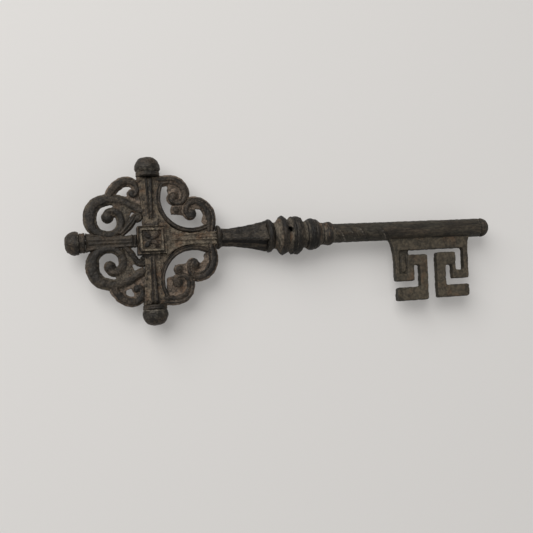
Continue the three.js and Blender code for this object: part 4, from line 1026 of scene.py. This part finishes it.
# The bit is one cast plate cut as a meander: two feet hang from the outer legs by way of the inner bars. It
# leans a little, its root is let into the shank, and a web closes its near slot.
BIT_HALF = 2.3
BIT_DEPTH = 41.8
BIT_LEAN = 0.05
BIT_PLACE = 37.2
BIT_FRONT = 24.15
BIT_MIDDLE = SHANK_START + BIT_PLACE + BIT_FRONT
BAR_CORNER = 1.5
BAR_CORNER_SHARE = 0.48
ROOT_START = -1
ROOT_TOP = 3.4
ROOT_LOW = 12.3
LEG_TOP = 10
MEANDER_LOW = 30.8
FOOT_BAR_TOP = 34.1
CURVE_SHARES = ((0, 0), (0.36, 0.08), (0.62, 0.24), (0.82, 0.5), (0.94, 0.76), (1, 1))
CURVE_TOP = 4
CURVE_INNER_TOP = 3
CURVE_LAP = 1.5
SLOT_WEB = (14.6, 22.5, 11, 28.5)
SLOT_WEB_HALF = 1.0
SLOT_BOSS = (17.0, 20.2, 14.6, 25.4)
SLOT_BOSS_HALF = 2.05
# The edge setting is 0 here, so every edge of the bit gets painted shade as a dark outline.
bit_iron = iron("Bit_iron", ("height", 2.0, 1.5), 0.75, dark=(0.024, 0.021, 0.015),
                brown=(0.046, 0.037, 0.025), dust=(0.071, 0.057, 0.039), wear_and_edge_light=0.0, rust=0.6, mottling=0.75,
                run=(0.5, 0.5, 0.5), bump=0.5)


def bit_plate(bm, outline, half=BIT_HALF):
    """A plate of the bit, from (place, depth) points: from its middle, and down from the shank's axis."""
    leaning = [(BIT_MIDDLE + x - BIT_LEAN * (depth - BIT_DEPTH / 2), -depth) for x, depth in outline]
    slab(bm, leaning, half)


def bit_bar(bm, side, inner, outer, top, bottom, half=BIT_HALF):
    """One bar of the bit with round corners. side is -1 by the bow and 1 by the tip."""
    left, right = sorted((side * inner, side * outer))
    soft = min(BAR_CORNER, (right - left) * BAR_CORNER_SHARE)
    outline = []
    for corner, (x, depth) in enumerate(((right - soft, top + soft), (left + soft, top + soft),
                                         (left + soft, bottom - soft), (right - soft, bottom - soft))):
        for quarter in range(5):
            angle = math.radians(90 * corner + 22.5 * quarter)
            outline.append((x + soft * math.cos(angle), depth - soft * math.sin(angle)))
    bit_plate(bm, outline, half)


bit_bm = bmesh.new()
for (side, post, post_end, riser, riser_end, leg, leg_end, foot_end, hook_top, hook_low, bar_top, foot_low,
     curve_length, curve_drop) in (
    (-1, 2.65, 8.15, 11.5, 16.05, 21.15, 24.15, 23.25, 14.8, 21.4, 26.4, 42.5, 4.8, 15),
    (1, 3.0, 9.25, 13.35, 16.05, 21.05, 24.65, 24.65, 14.1, 22.2, 25.2, 41.8, 3.0, 7),
):
    for inner, outer, top, bottom in (
        (ROOT_START, leg_end, ROOT_TOP, ROOT_LOW), (leg, leg_end, LEG_TOP, MEANDER_LOW),
        (riser, leg_end, bar_top, MEANDER_LOW), (riser, riser_end, hook_top, MEANDER_LOW),
        (post, riser_end, hook_top, hook_low), (post, post_end, hook_top, foot_low),
        (post, foot_end, FOOT_BAR_TOP, foot_low),
    ):
        bit_bar(bit_bm, side, inner, outer, top, bottom)
    outline = [(leg_end + curve_length * (1 - along), CURVE_TOP + curve_drop * down)
               for along, down in CURVE_SHARES]
    inner_edge = leg_end - CURVE_LAP
    outline += [(inner_edge, CURVE_TOP + curve_drop), (inner_edge, CURVE_INNER_TOP)]
    bit_plate(bit_bm, [(side * x, depth) for x, depth in outline])
bit_bar(bit_bm, -1, *SLOT_WEB, SLOT_WEB_HALF)
bit_bar(bit_bm, -1, *SLOT_BOSS, SLOT_BOSS_HALF)
bit_mesh = cast_skin(bit_bm, voxel=0.3, softness=22, lump=0.55, fine=0.16)
finish_piece("Bit", bit_mesh, bit_iron, "brown_iron", "bit")
